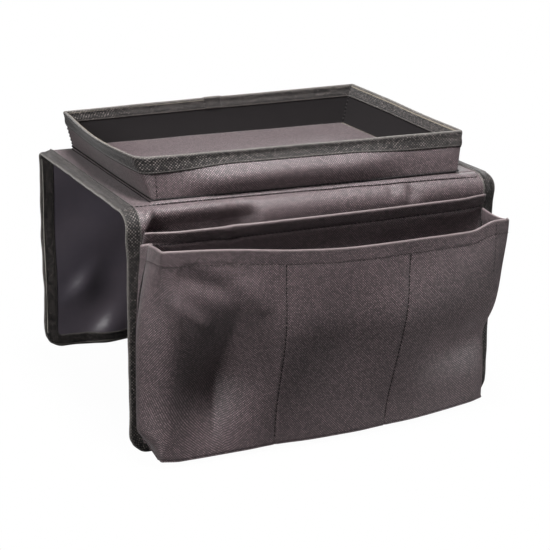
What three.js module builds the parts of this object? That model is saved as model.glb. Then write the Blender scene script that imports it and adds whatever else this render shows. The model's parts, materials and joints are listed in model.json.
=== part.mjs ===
// A sofa armrest caddy: a cloth saddle that lies over an armrest, with a shallow bound tray on top,
// a flap down each side of the armrest, and a flat pocket and a boxed three-part pocket on the front flap.
// Millimetres, +Z up, X along the armrest, the pocketed front flap towards -Y.
// The origin is the middle of the saddle's underside, where it sits on the armrest.

import * as THREE from "three";
import { mergeVertices } from "three/addons/utils/BufferGeometryUtils.js";

// Layers
const CLOTH = 1.0; // woven cloth with its coating
const LINING = 0.8; // coated lining under the saddle
const FILLING = 2.0; // board in the saddle top, felt sheet in the flaps
const TAPE = 0.7; // binding tape
const TAPE_WIDTH = 11.0; // finished width of the binding on each face
const GAP = 0.3; // between layers that touch
const SEAM = 0.3; // between lengths of one cloth that bend apart

// Saddle
const SADDLE_LENGTH = 320.0; // along the armrest, over the bindings
const ARM_WIDTH = 218.0; // between the linings of the two flaps
const FRONT_DROP = 194.0; // from the saddle's top to the front flap's lower edge
const REAR_DROP = 181.0; // from the saddle's top to the rear flap's lower edge
const FRONT_FOLD_INSIDE = 11.6; // radius inside the plump front fold
const REAR_FOLD_INSIDE = 2.0; // radius inside the tight rear fold
const FLAP_CORNER_INSIDE = 5.0; // radius of the tape's inner edge at a flap's corners
const WELT_WIDTH = 4.2; // turned seam across the saddle in front of the tray
const WELT_HEIGHT = 1.0;

// Tray
const TRAY_END_MARGIN = 28.5; // from the saddle's end to the tray's base
const TRAY_FRONT_MARGIN = 0.5; // from the front fold to the tray's base
const TRAY_BACK_MARGIN = 0.8; // from the rear fold to the tray's base
const TRAY_HEIGHT = 34.4; // from the saddle's top to the tray's rim
const TRAY_END_FLARE = 9.0; // how far the rim stands out past the base at each end
const TRAY_FRONT_LEAN = 7.0; // how far the front wall leans in at its rim
const TRAY_BACK_FLARE = 0.5; // how far the back wall leans out at its rim
const WALL_BOARD = 2.0;
const FLOOR_BOARD = 3.0;
const FLOOR_CLEARANCE = 0.7; // between the tray's floor cloth and its walls, one of which leans in over it
const RIM_TAPE_WIDTH = 12.0;
const BASE_CORNER_INSIDE = 2.5; // radius inside the tray's corners at the floor
const RIM_CORNER_INSIDE = 3.0; // radius inside three of the corners at the rim
const SOFT_CORNER_INSIDE = 21.0; // radius inside the front left corner at the rim, which is pressed round

// Pockets
const INNER_POCKET_DROP = 15.5; // from the saddle's top to the inner pocket's mouth
const INNER_POCKET_BOW = 8.0; // how far the inner pocket stands off the flap in the middle
const OUTER_POCKET_DROP = 25.0; // from the saddle's top to the outer pocket's mouth at its corners
const OUTER_POCKET_SAG = 7.0; // how far the mouth dips between the corners
const OUTER_POCKET_DROOP = 7.3; // how far the bottom hangs below its seam on the flap
const MOUTH_STAND = 41.0; // how far the mouth stands off the flap at its corners
const MOUTH_BOW = 6.0; // and how much further in the middle
const FOOT_STAND_LEFT = 34.5; // how far the bottom stands off at the left, where the box is open
const FOOT_STAND_RIGHT = 11.5; // and at the right, where the box has sunk in
const FOOT_SINK_FROM = 10.0; // where along X the bottom starts to sink in
const GUSSET_SWELL = 5.5; // how far the left gusset swells out
const ROOT_CLEARANCE = 0.6; // from the inner pocket's cloth to the root of the outer pocket
const DIVIDER_DROP = 22.0; // from the outer pocket's mouth to the top of a divider
const DIVIDER_CLEARANCE = 0.6; // between a divider and the bowed cloths that it joins
const COMPARTMENTS = 3;

// Steps of the curved pieces
const CORNER_STEPS = 6;
const FOLD_STEPS = 8;
const POCKET_ACROSS_STEPS = 18;
const POCKET_UP_STEPS = 8;
const GUSSET_STEPS = 5;

// Levels and places that follow from these
const STACK = LINING + GAP + FILLING + GAP + CLOTH;
const FILLING_LEVEL = LINING + GAP;
const CLOTH_LEVEL = FILLING_LEVEL + FILLING + GAP;
const TAPE_STAND = GAP + TAPE; // how far the binding stands past what it binds
const HALF_LENGTH = SADDLE_LENGTH / 2;
const HALF_CLOTH = HALF_LENGTH - TAPE_STAND;
const HALF_BETWEEN_TAPES = HALF_LENGTH - TAPE_WIDTH - GAP;
const HALF_ARM = ARM_WIDTH / 2;
const FLAP_FACE = HALF_ARM + STACK; // outer face of each flap, from the middle
const FRONT_FOLD_START = HALF_ARM - FRONT_FOLD_INSIDE;
const REAR_FOLD_START = HALF_ARM - REAR_FOLD_INSIDE;
const FRONT = -1;
const REAR = 1;

const cloth = new THREE.MeshStandardMaterial({ color: 0x4a4143, roughness: 0.9, metalness: 0 });
const tape = new THREE.MeshStandardMaterial({ color: 0x55504d, roughness: 0.95, metalness: 0 });
const lining = new THREE.MeshStandardMaterial({ color: 0x26252d, roughness: 0.5, metalness: 0 });
const board = new THREE.MeshStandardMaterial({ color: 0x8d8579, roughness: 0.9, metalness: 0 });
const felt = new THREE.MeshStandardMaterial({ color: 0xb9b4aa, roughness: 1, metalness: 0 });

const caddy = new THREE.Group();

function addPiece(name, geometry, material) {
  const mesh = new THREE.Mesh(geometry, material);
  mesh.name = name;
  caddy.add(mesh);
}

function mix(from, to, share) {
  return from + (to - from) * share;
}

function easeInOut(share) {
  const s = Math.min(Math.max(share, 0), 1);
  return s * s * (3 - 2 * s);
}

// A closed solid from points and triangles, turned so that its faces point outwards.
function solid(points, triangles) {
  let volume = 0;
  for (let i = 0; i < triangles.length; i += 3) {
    const [a, b, c] = triangles.slice(i, i + 3).map((k) => points[k]);
    volume += a.dot(new THREE.Vector3().crossVectors(b, c));
  }
  const facing = volume < 0 ? triangles.toReversed() : triangles;
  return new THREE.BufferGeometry().setFromPoints(points).setIndex(facing);
}

// Triangles that fill a flat outline round its holes, each turned the way the outline runs.
function fill(outline, holes) {
  const points = [outline, ...holes].flat();
  const turned = THREE.ShapeUtils.isClockWise(outline);
  return THREE.ShapeUtils.triangulateShape(outline, holes).map((corners) => {
    const agrees = THREE.ShapeUtils.isClockWise(corners.map((k) => points[k])) === turned;
    return agrees ? corners : corners.toReversed();
  });
}

// A skin over a row of matching loops: a closed ring, or a bar with an end cap on its first and last loop.
// The cap's triangles come from the flat outline of a loop.
function skinLoops(loops, capOutline) {
  const size = loops[0].length;
  const spans = capOutline ? loops.length - 1 : loops.length;
  const triangles = [];
  for (let i = 0; i < spans; i++) {
    const here = i * size;
    const next = ((i + 1) % loops.length) * size;
    for (let j = 0; j < size; j++) {
      const k = (j + 1) % size;
      triangles.push(here + j, here + k, next + k, here + j, next + k, next + j);
    }
  }
  if (capOutline) {
    const last = (loops.length - 1) * size;
    for (const [a, b, c] of fill(capOutline, [])) {
      triangles.push(c, b, a, last + a, last + b, last + c);
    }
  }
  return solid(loops.flat(), triangles);
}

// A sheet of cloth: a grid of points over two shares from 0 to 1, made as thick as the step through it.
function sheet(stepsU, stepsV, place, through) {
  const face = [];
  for (let i = 0; i <= stepsU; i++) {
    for (let j = 0; j <= stepsV; j++) {
      face.push(place(i / stepsU, j / stepsV));
    }
  }
  const back = face.map((p) => p.clone().add(through));
  const at = (i, j) => i * (stepsV + 1) + j;
  const triangles = [];
  for (let i = 0; i < stepsU; i++) {
    for (let j = 0; j < stepsV; j++) {
      const [a, b, c, d] = [at(i, j), at(i + 1, j), at(i + 1, j + 1), at(i, j + 1)];
      const n = face.length;
      triangles.push(a, b, c, a, c, d, n + c, n + b, n + a, n + d, n + c, n + a);
    }
  }
  const rim = [];
  for (let i = 0; i < stepsU; i++) {
    rim.push(at(i, 0));
  }
  for (let j = 0; j < stepsV; j++) {
    rim.push(at(stepsU, j));
  }
  for (let i = stepsU; i > 0; i--) {
    rim.push(at(i, stepsV));
  }
  for (let j = stepsV; j > 0; j--) {
    rim.push(at(0, j));
  }
  rim.forEach((a, k) => {
    const b = rim[(k + 1) % rim.length];
    const n = face.length;
    triangles.push(b, a, n + a, b, n + a, n + b);
  });
  return solid([...face, ...back], triangles);
}

// A flat outline made thick, without the attributes that split its corners.
function extrude(shape, depth) {
  const made = new THREE.ExtrudeGeometry(shape, { depth, bevelEnabled: false, curveSegments: CORNER_STEPS });
  made.deleteAttribute("normal");
  made.deleteAttribute("uv");
  return mergeVertices(made);
}

// A flat outline made thick, with a panel marked out inside it that stays bare when the edges are bound.
function panelled(shape, panel, depth) {
  const outline = shape.getPoints(CORNER_STEPS).slice(0, -1);
  const inside = panel.getPoints().slice(0, -1);
  const middle = fill(inside, []).map((corners) => corners.map((k) => outline.length + k));
  const flat = [...outline, ...inside];
  const n = flat.length;
  const triangles = [];
  for (const [a, b, c] of [...fill(outline, [inside]), ...middle]) {
    triangles.push(c, b, a, n + a, n + b, n + c);
  }
  outline.forEach((_, i) => {
    const j = (i + 1) % outline.length;
    triangles.push(i, j, n + j, i, n + j, n + i);
  });
  const levels = [0, depth].map((z) => flat.map((p) => new THREE.Vector3(p.x, p.y, z)));
  return solid(levels.flat(), triangles);
}

function rectangle(lowX, lowY, highX, highY) {
  const shape = new THREE.Shape();
  shape.moveTo(lowX, lowY);
  shape.lineTo(highX, lowY);
  shape.lineTo(highX, highY);
  shape.lineTo(lowX, highY);
  shape.closePath();
  return shape;
}

// The saddle's section across the armrest: a place at an inner-to-outer level of the stack, at one side.
function flapY(side, level) {
  return side * (HALF_ARM + level);
}

// Across a binding: inward from the bound edge, and level through what is bound.
const tapeOutline = [
  [0, -TAPE_STAND],
  [TAPE_WIDTH, -TAPE_STAND],
  [TAPE_WIDTH, -GAP],
  [TAPE, -GAP],
  [TAPE, STACK + GAP],
  [TAPE_WIDTH, STACK + GAP],
  [TAPE_WIDTH, STACK + TAPE_STAND],
  [0, STACK + TAPE_STAND],
].map(([inward, level]) => new THREE.Vector2(inward, level));

// A binding that runs through stations, each of which places an inward distance and a level.
function binding(stations) {
  const loops = stations.map((place) => tapeOutline.map((p) => place(p.x, p.y)));
  return skinLoops(loops, tapeOutline);
}

// Saddle top
function addSaddleTop() {
  const near = -FRONT_FOLD_START + SEAM;
  const far = REAR_FOLD_START - SEAM;
  const outline = rectangle(-HALF_CLOTH, near, HALF_CLOTH, far);
  const bare = rectangle(-HALF_BETWEEN_TAPES, near + SEAM, HALF_BETWEEN_TAPES, far - SEAM);
  addPiece("saddle_top_lining", panelled(outline, bare, LINING), lining);
  addPiece("saddle_top_board", extrude(outline, FILLING).translate(0, 0, FILLING_LEVEL), board);
  addPiece("saddle_top_cloth", extrude(outline, CLOTH).translate(0, 0, CLOTH_LEVEL), cloth);
  for (const [name, end] of [["left", -1], ["right", 1]]) {
    const stations = [near, far].map(
      (y) => (inward, level) => new THREE.Vector3(end * (HALF_LENGTH - inward), y, level),
    );
    addPiece("saddle_binding_" + name, binding(stations), tape);
  }
  const weltBack = -FRONT_FOLD_START + TRAY_FRONT_MARGIN - GAP;
  const welt = rectangle(-HALF_BETWEEN_TAPES, weltBack - WELT_WIDTH, HALF_BETWEEN_TAPES, weltBack);
  addPiece("front_seam_welt", extrude(welt, WELT_HEIGHT).translate(0, 0, STACK + GAP), cloth);
}

// Folds: a quarter turn from the saddle top down into a flap, about a line along the armrest.
function foldPoint(side, inside, x, level, turn) {
  const radius = inside + level;
  const out = HALF_ARM - inside + radius * Math.cos(turn);
  return new THREE.Vector3(x, side * out, -inside + radius * Math.sin(turn));
}

function addFold(name, side, inside, layers) {
  for (const [layer, level, depth, material] of layers) {
    const loops = [];
    const corners = [[-1, 0], [1, 0], [1, 1], [-1, 1]];
    for (let i = 0; i <= FOLD_STEPS; i++) {
      const turn = (Math.PI / 2) * (i / FOLD_STEPS);
      loops.push(
        corners.map(([end, top]) => foldPoint(side, inside, end * HALF_CLOTH, level + depth * top, turn)),
      );
    }
    const cap = corners.map(([end, top]) => new THREE.Vector2(end * HALF_CLOTH, level + depth * top));
    addPiece(name + "_" + layer, skinLoops(loops, cap), material);
  }
  for (const [hand, end] of [["left", -1], ["right", 1]]) {
    const stations = [];
    for (let i = 0; i <= FOLD_STEPS; i++) {
      const turn = (Math.PI / 2) * (i / FOLD_STEPS);
      stations.push((inward, level) => foldPoint(side, inside, end * (HALF_LENGTH - inward), level, turn));
    }
    addPiece(name + "_binding_" + hand, binding(stations), tape);
  }
}

// Flaps: flat layers with two round lower corners, bound down both sides and along the bottom.
function flapOutline(top, bottom, inset) {
  const half = HALF_LENGTH - inset;
  const low = bottom + inset;
  const corner = FLAP_CORNER_INSIDE + TAPE_WIDTH - inset;
  const shape = new THREE.Shape();
  shape.moveTo(half, top);
  shape.lineTo(-half, top);
  shape.lineTo(-half, low + corner);
  shape.absarc(-half + corner, low + corner, corner, Math.PI, 1.5 * Math.PI, false);
  shape.lineTo(half - corner, low);
  shape.absarc(half - corner, low + corner, corner, 1.5 * Math.PI, 2 * Math.PI, false);
  shape.closePath();
  return shape;
}

function addFlap(name, side, top, bottom) {
  const outline = flapOutline(top, bottom, TAPE_STAND);
  const corner = FLAP_CORNER_INSIDE + TAPE_WIDTH;
  const half = HALF_BETWEEN_TAPES;
  const bare = rectangle(-half, bottom + corner + GAP, half, top - SEAM);
  const layers = [
    ["lining", 0, LINING, lining, panelled(outline, bare, LINING)],
    ["felt", FILLING_LEVEL, FILLING, felt, extrude(outline, FILLING)],
    ["cloth", CLOTH_LEVEL, CLOTH, cloth, extrude(outline, CLOTH)],
  ];
  for (const [layer, level, depth, material, plate] of layers) {
    const highY = side === REAR ? flapY(side, level + depth) : flapY(side, level);
    addPiece(name + "_" + layer, plate.rotateX(Math.PI / 2).translate(0, highY, 0), material);
  }
  const edge = [];
  const pushArc = (x, from) => {
    for (let i = 0; i <= CORNER_STEPS; i++) {
      edge.push([x, bottom + corner, corner, from + (Math.PI / 2) * (i / CORNER_STEPS)]);
    }
  };
  edge.push([-HALF_LENGTH + corner, top, corner, Math.PI]);
  pushArc(-HALF_LENGTH + corner, Math.PI);
  pushArc(HALF_LENGTH - corner, 1.5 * Math.PI);
  edge.push([HALF_LENGTH - corner, top, corner, 2 * Math.PI]);
  const stations = edge.map(([x, z, radius, turn]) => (inward, level) => {
    const reach = radius - inward;
    return new THREE.Vector3(x + reach * Math.cos(turn), flapY(side, level), z + reach * Math.sin(turn));
  });
  addPiece(name + "_binding", binding(stations), tape);
}

// Tray: rings of cloth, board and tape that follow one flared outline with round corners.
const WALL = CLOTH + GAP + WALL_BOARD + GAP + CLOTH;
const WALL_TOP = TRAY_HEIGHT - TAPE_STAND;
const trayBase = {
  left: -HALF_LENGTH + TRAY_END_MARGIN,
  right: HALF_LENGTH - TRAY_END_MARGIN,
  front: -FRONT_FOLD_START + TRAY_FRONT_MARGIN,
  back: REAR_FOLD_START - TRAY_BACK_MARGIN,
};
const trayRim = {
  left: trayBase.left - TRAY_END_FLARE,
  right: trayBase.right + TRAY_END_FLARE,
  front: trayBase.front + TRAY_FRONT_LEAN,
  back: trayBase.back + TRAY_BACK_FLARE,
};
const trayCorners = [
  { x: "left", y: "front", signX: -1, signY: -1, from: Math.PI, rimInside: SOFT_CORNER_INSIDE },
  { x: "right", y: "front", signX: 1, signY: -1, from: 1.5 * Math.PI, rimInside: RIM_CORNER_INSIDE },
  { x: "right", y: "back", signX: 1, signY: 1, from: 0, rimInside: RIM_CORNER_INSIDE },
  { x: "left", y: "back", signX: -1, signY: 1, from: 0.5 * Math.PI, rimInside: RIM_CORNER_INSIDE },
];
const TRAY_STATIONS = trayCorners.length * (CORNER_STEPS + 1);

// A point of the tray's wall: a station round the outline, an outward offset from the wall's outer face,
// and a height above the saddle's top.
function trayPoint(station, offset, height) {
  const corner = trayCorners[Math.floor(station / (CORNER_STEPS + 1))];
  const turn = corner.from + (Math.PI / 2) * ((station % (CORNER_STEPS + 1)) / CORNER_STEPS);
  const share = height / TRAY_HEIGHT;
  const radius = mix(BASE_CORNER_INSIDE, corner.rimInside, share) + WALL + offset;
  const x = mix(trayBase[corner.x], trayRim[corner.x], share) + corner.signX * (offset - radius);
  const y = mix(trayBase[corner.y], trayRim[corner.y], share) + corner.signY * (offset - radius);
  return new THREE.Vector3(x + radius * Math.cos(turn), y + radius * Math.sin(turn), STACK + height);
}

function trayLoop(offset, height) {
  return Array.from({ length: TRAY_STATIONS }, (_, station) => trayPoint(station, offset, height));
}

// A ring of the tray from its section: pairs of offset and height.
function trayRing(section) {
  const loops = Array.from({ length: TRAY_STATIONS }, (_, station) =>
    section.map(([offset, height]) => trayPoint(station, offset, height)),
  );
  return skinLoops(loops, null);
}

function trayWallSection(outer, inner, low) {
  return [
    [outer, low],
    [outer, WALL_TOP],
    [inner, WALL_TOP],
    [inner, low],
  ];
}

function trayPlate(clearance, low, high) {
  const loops = [trayLoop(-WALL - clearance, low), trayLoop(-WALL - clearance, high)];
  return skinLoops(loops, loops[0].map((p) => new THREE.Vector2(p.x, p.y)));
}

function addTray() {
  addPiece("tray_floor_board", trayPlate(GAP, GAP, GAP + FLOOR_BOARD), board);
  const coverLow = GAP + FLOOR_BOARD + GAP;
  addPiece("tray_floor_cloth", trayPlate(FLOOR_CLEARANCE, coverLow, coverLow + CLOTH), cloth);
  addPiece("tray_outer_cloth", trayRing(trayWallSection(0, -CLOTH, GAP)), cloth);
  addPiece("tray_inner_cloth", trayRing(trayWallSection(-WALL + CLOTH, -WALL, GAP)), cloth);
  const outer = -CLOTH - GAP;
  const inner = outer - WALL_BOARD;
  for (const [side, corner] of [["front", 0], ["right", 1], ["back", 2], ["left", 3]]) {
    const first = corner * (CORNER_STEPS + 1) + CORNER_STEPS;
    const loops = [first, (first + 1) % TRAY_STATIONS].map((station) =>
      trayWallSection(outer, inner, GAP).map(([offset, height]) => trayPoint(station, offset, height)),
    );
    const cap = trayWallSection(outer, inner, GAP).map(([a, b]) => new THREE.Vector2(a, b));
    addPiece("tray_board_" + side, skinLoops(loops, cap), board);
  }
  const tapeLow = TRAY_HEIGHT - RIM_TAPE_WIDTH;
  const rimTape = [
    [GAP, tapeLow],
    [TAPE_STAND, tapeLow],
    [TAPE_STAND, TRAY_HEIGHT],
    [-WALL - TAPE_STAND, TRAY_HEIGHT],
    [-WALL - TAPE_STAND, tapeLow],
    [-WALL - GAP, tapeLow],
    [-WALL - GAP, TRAY_HEIGHT - TAPE],
    [GAP, TRAY_HEIGHT - TAPE],
  ];
  addPiece("tray_rim_binding", trayRing(rimTape), tape);
}

// Pockets on the front flap. Stand is the distance off the flap's outer face.
const FLAP_BOTTOM = STACK - FRONT_DROP;
const POCKET_SEAM = FLAP_BOTTOM + TAPE_WIDTH + GAP; // level of the seam along both pockets' bottoms
const INNER_MOUTH = STACK - INNER_POCKET_DROP;
const OUTER_FOOT = POCKET_SEAM - OUTER_POCKET_DROOP;
const ROOT_STAND = GAP + CLOTH + ROOT_CLEARANCE;

function pocketPoint(x, stand, z) {
  return new THREE.Vector3(x, -FLAP_FACE - stand, z);
}

// The seam along the inner pocket's bottom, which rises round the tape at the flap's corners.
function seamLevel(x) {
  const radius = FLAP_CORNER_INSIDE;
  const past = Math.max(Math.abs(x) - (HALF_BETWEEN_TAPES - radius), 0);
  return POCKET_SEAM + radius - Math.sqrt(Math.max(radius ** 2 - past ** 2, 0));
}

function innerStand(x, z) {
  const across = 1 - (x / HALF_BETWEEN_TAPES) ** 2;
  const up = (z - POCKET_SEAM) / (INNER_MOUTH - POCKET_SEAM);
  return GAP + CLOTH + INNER_POCKET_BOW * across * Math.sin((Math.PI / 2) * Math.min(up, 1));
}

function mouthLevel(x) {
  const across = 1 - (x / HALF_BETWEEN_TAPES) ** 2;
  return STACK - OUTER_POCKET_DROP - OUTER_POCKET_SAG * across;
}

// The outer pocket's front: open at its mouth, and sunk in towards the flap low down on the right.
function outerStand(x, up) {
  const across = 1 - (x / HALF_BETWEEN_TAPES) ** 2;
  const past = Math.max((x - FOOT_SINK_FROM) / (HALF_BETWEEN_TAPES - FOOT_SINK_FROM), 0);
  const foot = mix(FOOT_STAND_LEFT, FOOT_STAND_RIGHT, 1 - Math.cos((Math.PI / 2) * past));
  return mix(foot, MOUTH_STAND + MOUTH_BOW * across, easeInOut(up));
}

// Inside the box of the outer pocket: a share out from a root to just short of the front, and a share up.
function boxPoint(x, root, clearance, out, up) {
  const floor = mix(POCKET_SEAM, OUTER_FOOT, out) + CLOTH + GAP;
  const stand = mix(root, outerStand(x, up) - CLOTH - clearance, out);
  return pocketPoint(x, stand, mix(floor, mouthLevel(x), up));
}

function addPockets() {
  const half = HALF_BETWEEN_TAPES;
  const inner = (u, v) => {
    const x = mix(-half, half, u);
    const z = mix(seamLevel(x), INNER_MOUTH, v);
    return pocketPoint(x, innerStand(x, z), z);
  };
  const inward = new THREE.Vector3(0, CLOTH, 0);
  addPiece("inner_pocket", sheet(POCKET_ACROSS_STEPS, POCKET_UP_STEPS, inner, inward), cloth);

  const front = (u, v) => {
    const x = mix(-half, half, u);
    return pocketPoint(x, outerStand(x, v), mix(OUTER_FOOT, mouthLevel(x), v));
  };
  addPiece("outer_pocket_front", sheet(POCKET_ACROSS_STEPS, POCKET_UP_STEPS, front, inward), cloth);

  const bottom = (u, v) => {
    const x = mix(-half, half, u);
    const stand = mix(ROOT_STAND, outerStand(x, 0) - CLOTH - GAP, v);
    return pocketPoint(x, stand, mix(POCKET_SEAM, OUTER_FOOT, v));
  };
  const upward = new THREE.Vector3(0, 0, CLOTH);
  addPiece("outer_pocket_bottom", sheet(POCKET_ACROSS_STEPS, 1, bottom, upward), cloth);

  for (const [hand, end, swell] of [["left", -1, GUSSET_SWELL], ["right", 1, 0]]) {
    const gusset = (u, v) => {
      const point = boxPoint(end * half, ROOT_STAND, GAP, u, v);
      point.x += end * swell * Math.sin(Math.PI * u) * Math.sin(Math.PI * v);
      return point;
    };
    const through = new THREE.Vector3(-end * CLOTH, 0, 0);
    addPiece("pocket_gusset_" + hand, sheet(GUSSET_STEPS, POCKET_UP_STEPS, gusset, through), cloth);
  }

  const compartment = (2 * half) / COMPARTMENTS;
  for (let i = 1; i < COMPARTMENTS; i++) {
    const x = -half + i * compartment;
    const height = mouthLevel(x) - OUTER_FOOT;
    const divider = (u, v) => {
      const up = v * (1 - DIVIDER_DROP / height);
      const root = innerStand(x, mix(POCKET_SEAM, mouthLevel(x), up)) + DIVIDER_CLEARANCE;
      return boxPoint(x - CLOTH / 2, root, DIVIDER_CLEARANCE, u, up);
    };
    const through = new THREE.Vector3(CLOTH, 0, 0);
    addPiece("pocket_divider_" + i, sheet(GUSSET_STEPS, POCKET_UP_STEPS, divider, through), cloth);
  }
}

addSaddleTop();
addFold("front_fold", FRONT, FRONT_FOLD_INSIDE, [
  ["lining", 0, LINING, lining],
  ["felt", FILLING_LEVEL, FILLING, felt],
  ["cloth", CLOTH_LEVEL, CLOTH, cloth],
]);
addFold("rear_fold", REAR, REAR_FOLD_INSIDE, [
  ["lining", 0, LINING, lining],
  ["cloth", CLOTH_LEVEL, CLOTH, cloth],
]);
addFlap("front_flap", FRONT, -FRONT_FOLD_INSIDE - SEAM, FLAP_BOTTOM);
addFlap("rear_flap", REAR, -REAR_FOLD_INSIDE - SEAM, STACK - REAR_DROP);
addTray();
addPockets();

export default caddy;
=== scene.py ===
"""A sofa armrest caddy: woven cloth, binding tape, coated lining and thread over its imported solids.

Metres, +Z up, X along the armrest, the pocketed front flap towards -Y.
"""

import json
import math

import bmesh
import bpy
from mathutils import Matrix, Vector, noise
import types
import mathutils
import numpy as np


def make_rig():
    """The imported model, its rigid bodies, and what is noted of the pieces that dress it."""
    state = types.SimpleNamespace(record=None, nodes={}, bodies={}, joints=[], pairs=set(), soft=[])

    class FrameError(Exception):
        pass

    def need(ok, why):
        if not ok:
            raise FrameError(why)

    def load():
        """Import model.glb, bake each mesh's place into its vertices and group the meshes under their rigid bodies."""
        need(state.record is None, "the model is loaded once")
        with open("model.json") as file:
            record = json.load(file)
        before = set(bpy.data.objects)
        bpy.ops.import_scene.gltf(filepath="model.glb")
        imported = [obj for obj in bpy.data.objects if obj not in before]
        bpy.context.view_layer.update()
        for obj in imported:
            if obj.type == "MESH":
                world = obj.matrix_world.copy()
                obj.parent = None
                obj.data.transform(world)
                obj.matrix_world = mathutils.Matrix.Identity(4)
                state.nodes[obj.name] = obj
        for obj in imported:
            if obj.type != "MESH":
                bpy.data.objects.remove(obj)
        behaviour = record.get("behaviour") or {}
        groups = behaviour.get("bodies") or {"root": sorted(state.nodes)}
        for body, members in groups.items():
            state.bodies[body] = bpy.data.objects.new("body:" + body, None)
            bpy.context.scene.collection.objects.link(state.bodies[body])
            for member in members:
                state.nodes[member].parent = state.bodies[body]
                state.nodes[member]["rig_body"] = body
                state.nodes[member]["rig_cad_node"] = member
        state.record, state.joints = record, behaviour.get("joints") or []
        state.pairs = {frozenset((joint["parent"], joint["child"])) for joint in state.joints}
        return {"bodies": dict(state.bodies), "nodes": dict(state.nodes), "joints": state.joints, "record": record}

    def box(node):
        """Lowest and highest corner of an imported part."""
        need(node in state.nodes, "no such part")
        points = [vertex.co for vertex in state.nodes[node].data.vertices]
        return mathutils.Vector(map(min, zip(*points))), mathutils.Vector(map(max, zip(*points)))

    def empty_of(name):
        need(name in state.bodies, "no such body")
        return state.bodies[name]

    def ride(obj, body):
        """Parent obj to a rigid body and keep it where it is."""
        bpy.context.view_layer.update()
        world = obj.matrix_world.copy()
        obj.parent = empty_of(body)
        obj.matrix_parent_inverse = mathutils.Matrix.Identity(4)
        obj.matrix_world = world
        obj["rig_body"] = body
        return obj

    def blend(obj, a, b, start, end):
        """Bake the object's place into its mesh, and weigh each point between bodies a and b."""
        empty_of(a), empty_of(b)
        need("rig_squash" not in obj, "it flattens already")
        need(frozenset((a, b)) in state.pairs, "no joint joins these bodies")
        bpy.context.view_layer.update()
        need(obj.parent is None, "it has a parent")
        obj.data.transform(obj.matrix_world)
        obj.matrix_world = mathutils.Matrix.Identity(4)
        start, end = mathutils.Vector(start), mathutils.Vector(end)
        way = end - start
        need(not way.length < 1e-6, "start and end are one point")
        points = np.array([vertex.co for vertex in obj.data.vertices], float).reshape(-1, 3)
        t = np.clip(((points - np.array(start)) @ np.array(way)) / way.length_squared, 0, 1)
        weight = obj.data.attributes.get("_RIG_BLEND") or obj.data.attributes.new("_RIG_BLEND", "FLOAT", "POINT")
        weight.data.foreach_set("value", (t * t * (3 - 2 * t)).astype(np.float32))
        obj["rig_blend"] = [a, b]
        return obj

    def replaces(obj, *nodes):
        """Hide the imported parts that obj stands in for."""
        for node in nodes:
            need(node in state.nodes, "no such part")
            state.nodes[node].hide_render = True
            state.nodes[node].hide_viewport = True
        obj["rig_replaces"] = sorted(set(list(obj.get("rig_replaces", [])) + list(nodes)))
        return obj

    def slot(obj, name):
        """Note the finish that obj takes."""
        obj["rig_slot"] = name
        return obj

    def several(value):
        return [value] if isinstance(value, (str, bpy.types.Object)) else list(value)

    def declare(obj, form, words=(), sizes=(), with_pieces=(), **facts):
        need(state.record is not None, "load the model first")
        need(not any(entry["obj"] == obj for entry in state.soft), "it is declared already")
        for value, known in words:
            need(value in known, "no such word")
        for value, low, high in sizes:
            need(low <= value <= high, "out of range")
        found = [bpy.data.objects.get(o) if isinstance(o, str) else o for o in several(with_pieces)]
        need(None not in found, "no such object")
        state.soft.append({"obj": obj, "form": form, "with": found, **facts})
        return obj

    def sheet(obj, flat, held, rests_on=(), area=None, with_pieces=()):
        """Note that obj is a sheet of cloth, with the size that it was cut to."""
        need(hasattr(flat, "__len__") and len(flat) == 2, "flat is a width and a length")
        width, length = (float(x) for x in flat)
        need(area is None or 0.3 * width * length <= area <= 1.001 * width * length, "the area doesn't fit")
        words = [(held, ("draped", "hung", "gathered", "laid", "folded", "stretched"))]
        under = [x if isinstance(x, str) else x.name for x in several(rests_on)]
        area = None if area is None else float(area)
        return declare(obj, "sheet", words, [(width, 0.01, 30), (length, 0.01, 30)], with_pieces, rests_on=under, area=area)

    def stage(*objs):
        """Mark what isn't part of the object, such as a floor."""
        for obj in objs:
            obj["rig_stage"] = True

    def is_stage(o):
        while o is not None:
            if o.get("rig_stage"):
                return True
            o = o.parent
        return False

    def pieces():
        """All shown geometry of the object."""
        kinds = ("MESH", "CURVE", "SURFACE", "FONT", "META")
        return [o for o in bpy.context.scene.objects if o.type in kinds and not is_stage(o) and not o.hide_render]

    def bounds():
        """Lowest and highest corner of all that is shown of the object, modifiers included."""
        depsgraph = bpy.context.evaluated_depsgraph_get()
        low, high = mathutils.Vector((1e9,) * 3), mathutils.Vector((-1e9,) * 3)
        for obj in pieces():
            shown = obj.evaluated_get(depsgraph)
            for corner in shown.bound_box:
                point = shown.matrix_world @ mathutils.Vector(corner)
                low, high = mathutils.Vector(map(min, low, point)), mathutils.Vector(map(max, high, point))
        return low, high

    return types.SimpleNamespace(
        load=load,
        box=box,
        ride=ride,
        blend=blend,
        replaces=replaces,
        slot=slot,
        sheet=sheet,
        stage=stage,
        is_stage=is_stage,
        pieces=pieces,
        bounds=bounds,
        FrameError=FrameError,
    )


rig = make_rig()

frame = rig.load()
cad_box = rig.bounds()

MM = 0.001

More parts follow.
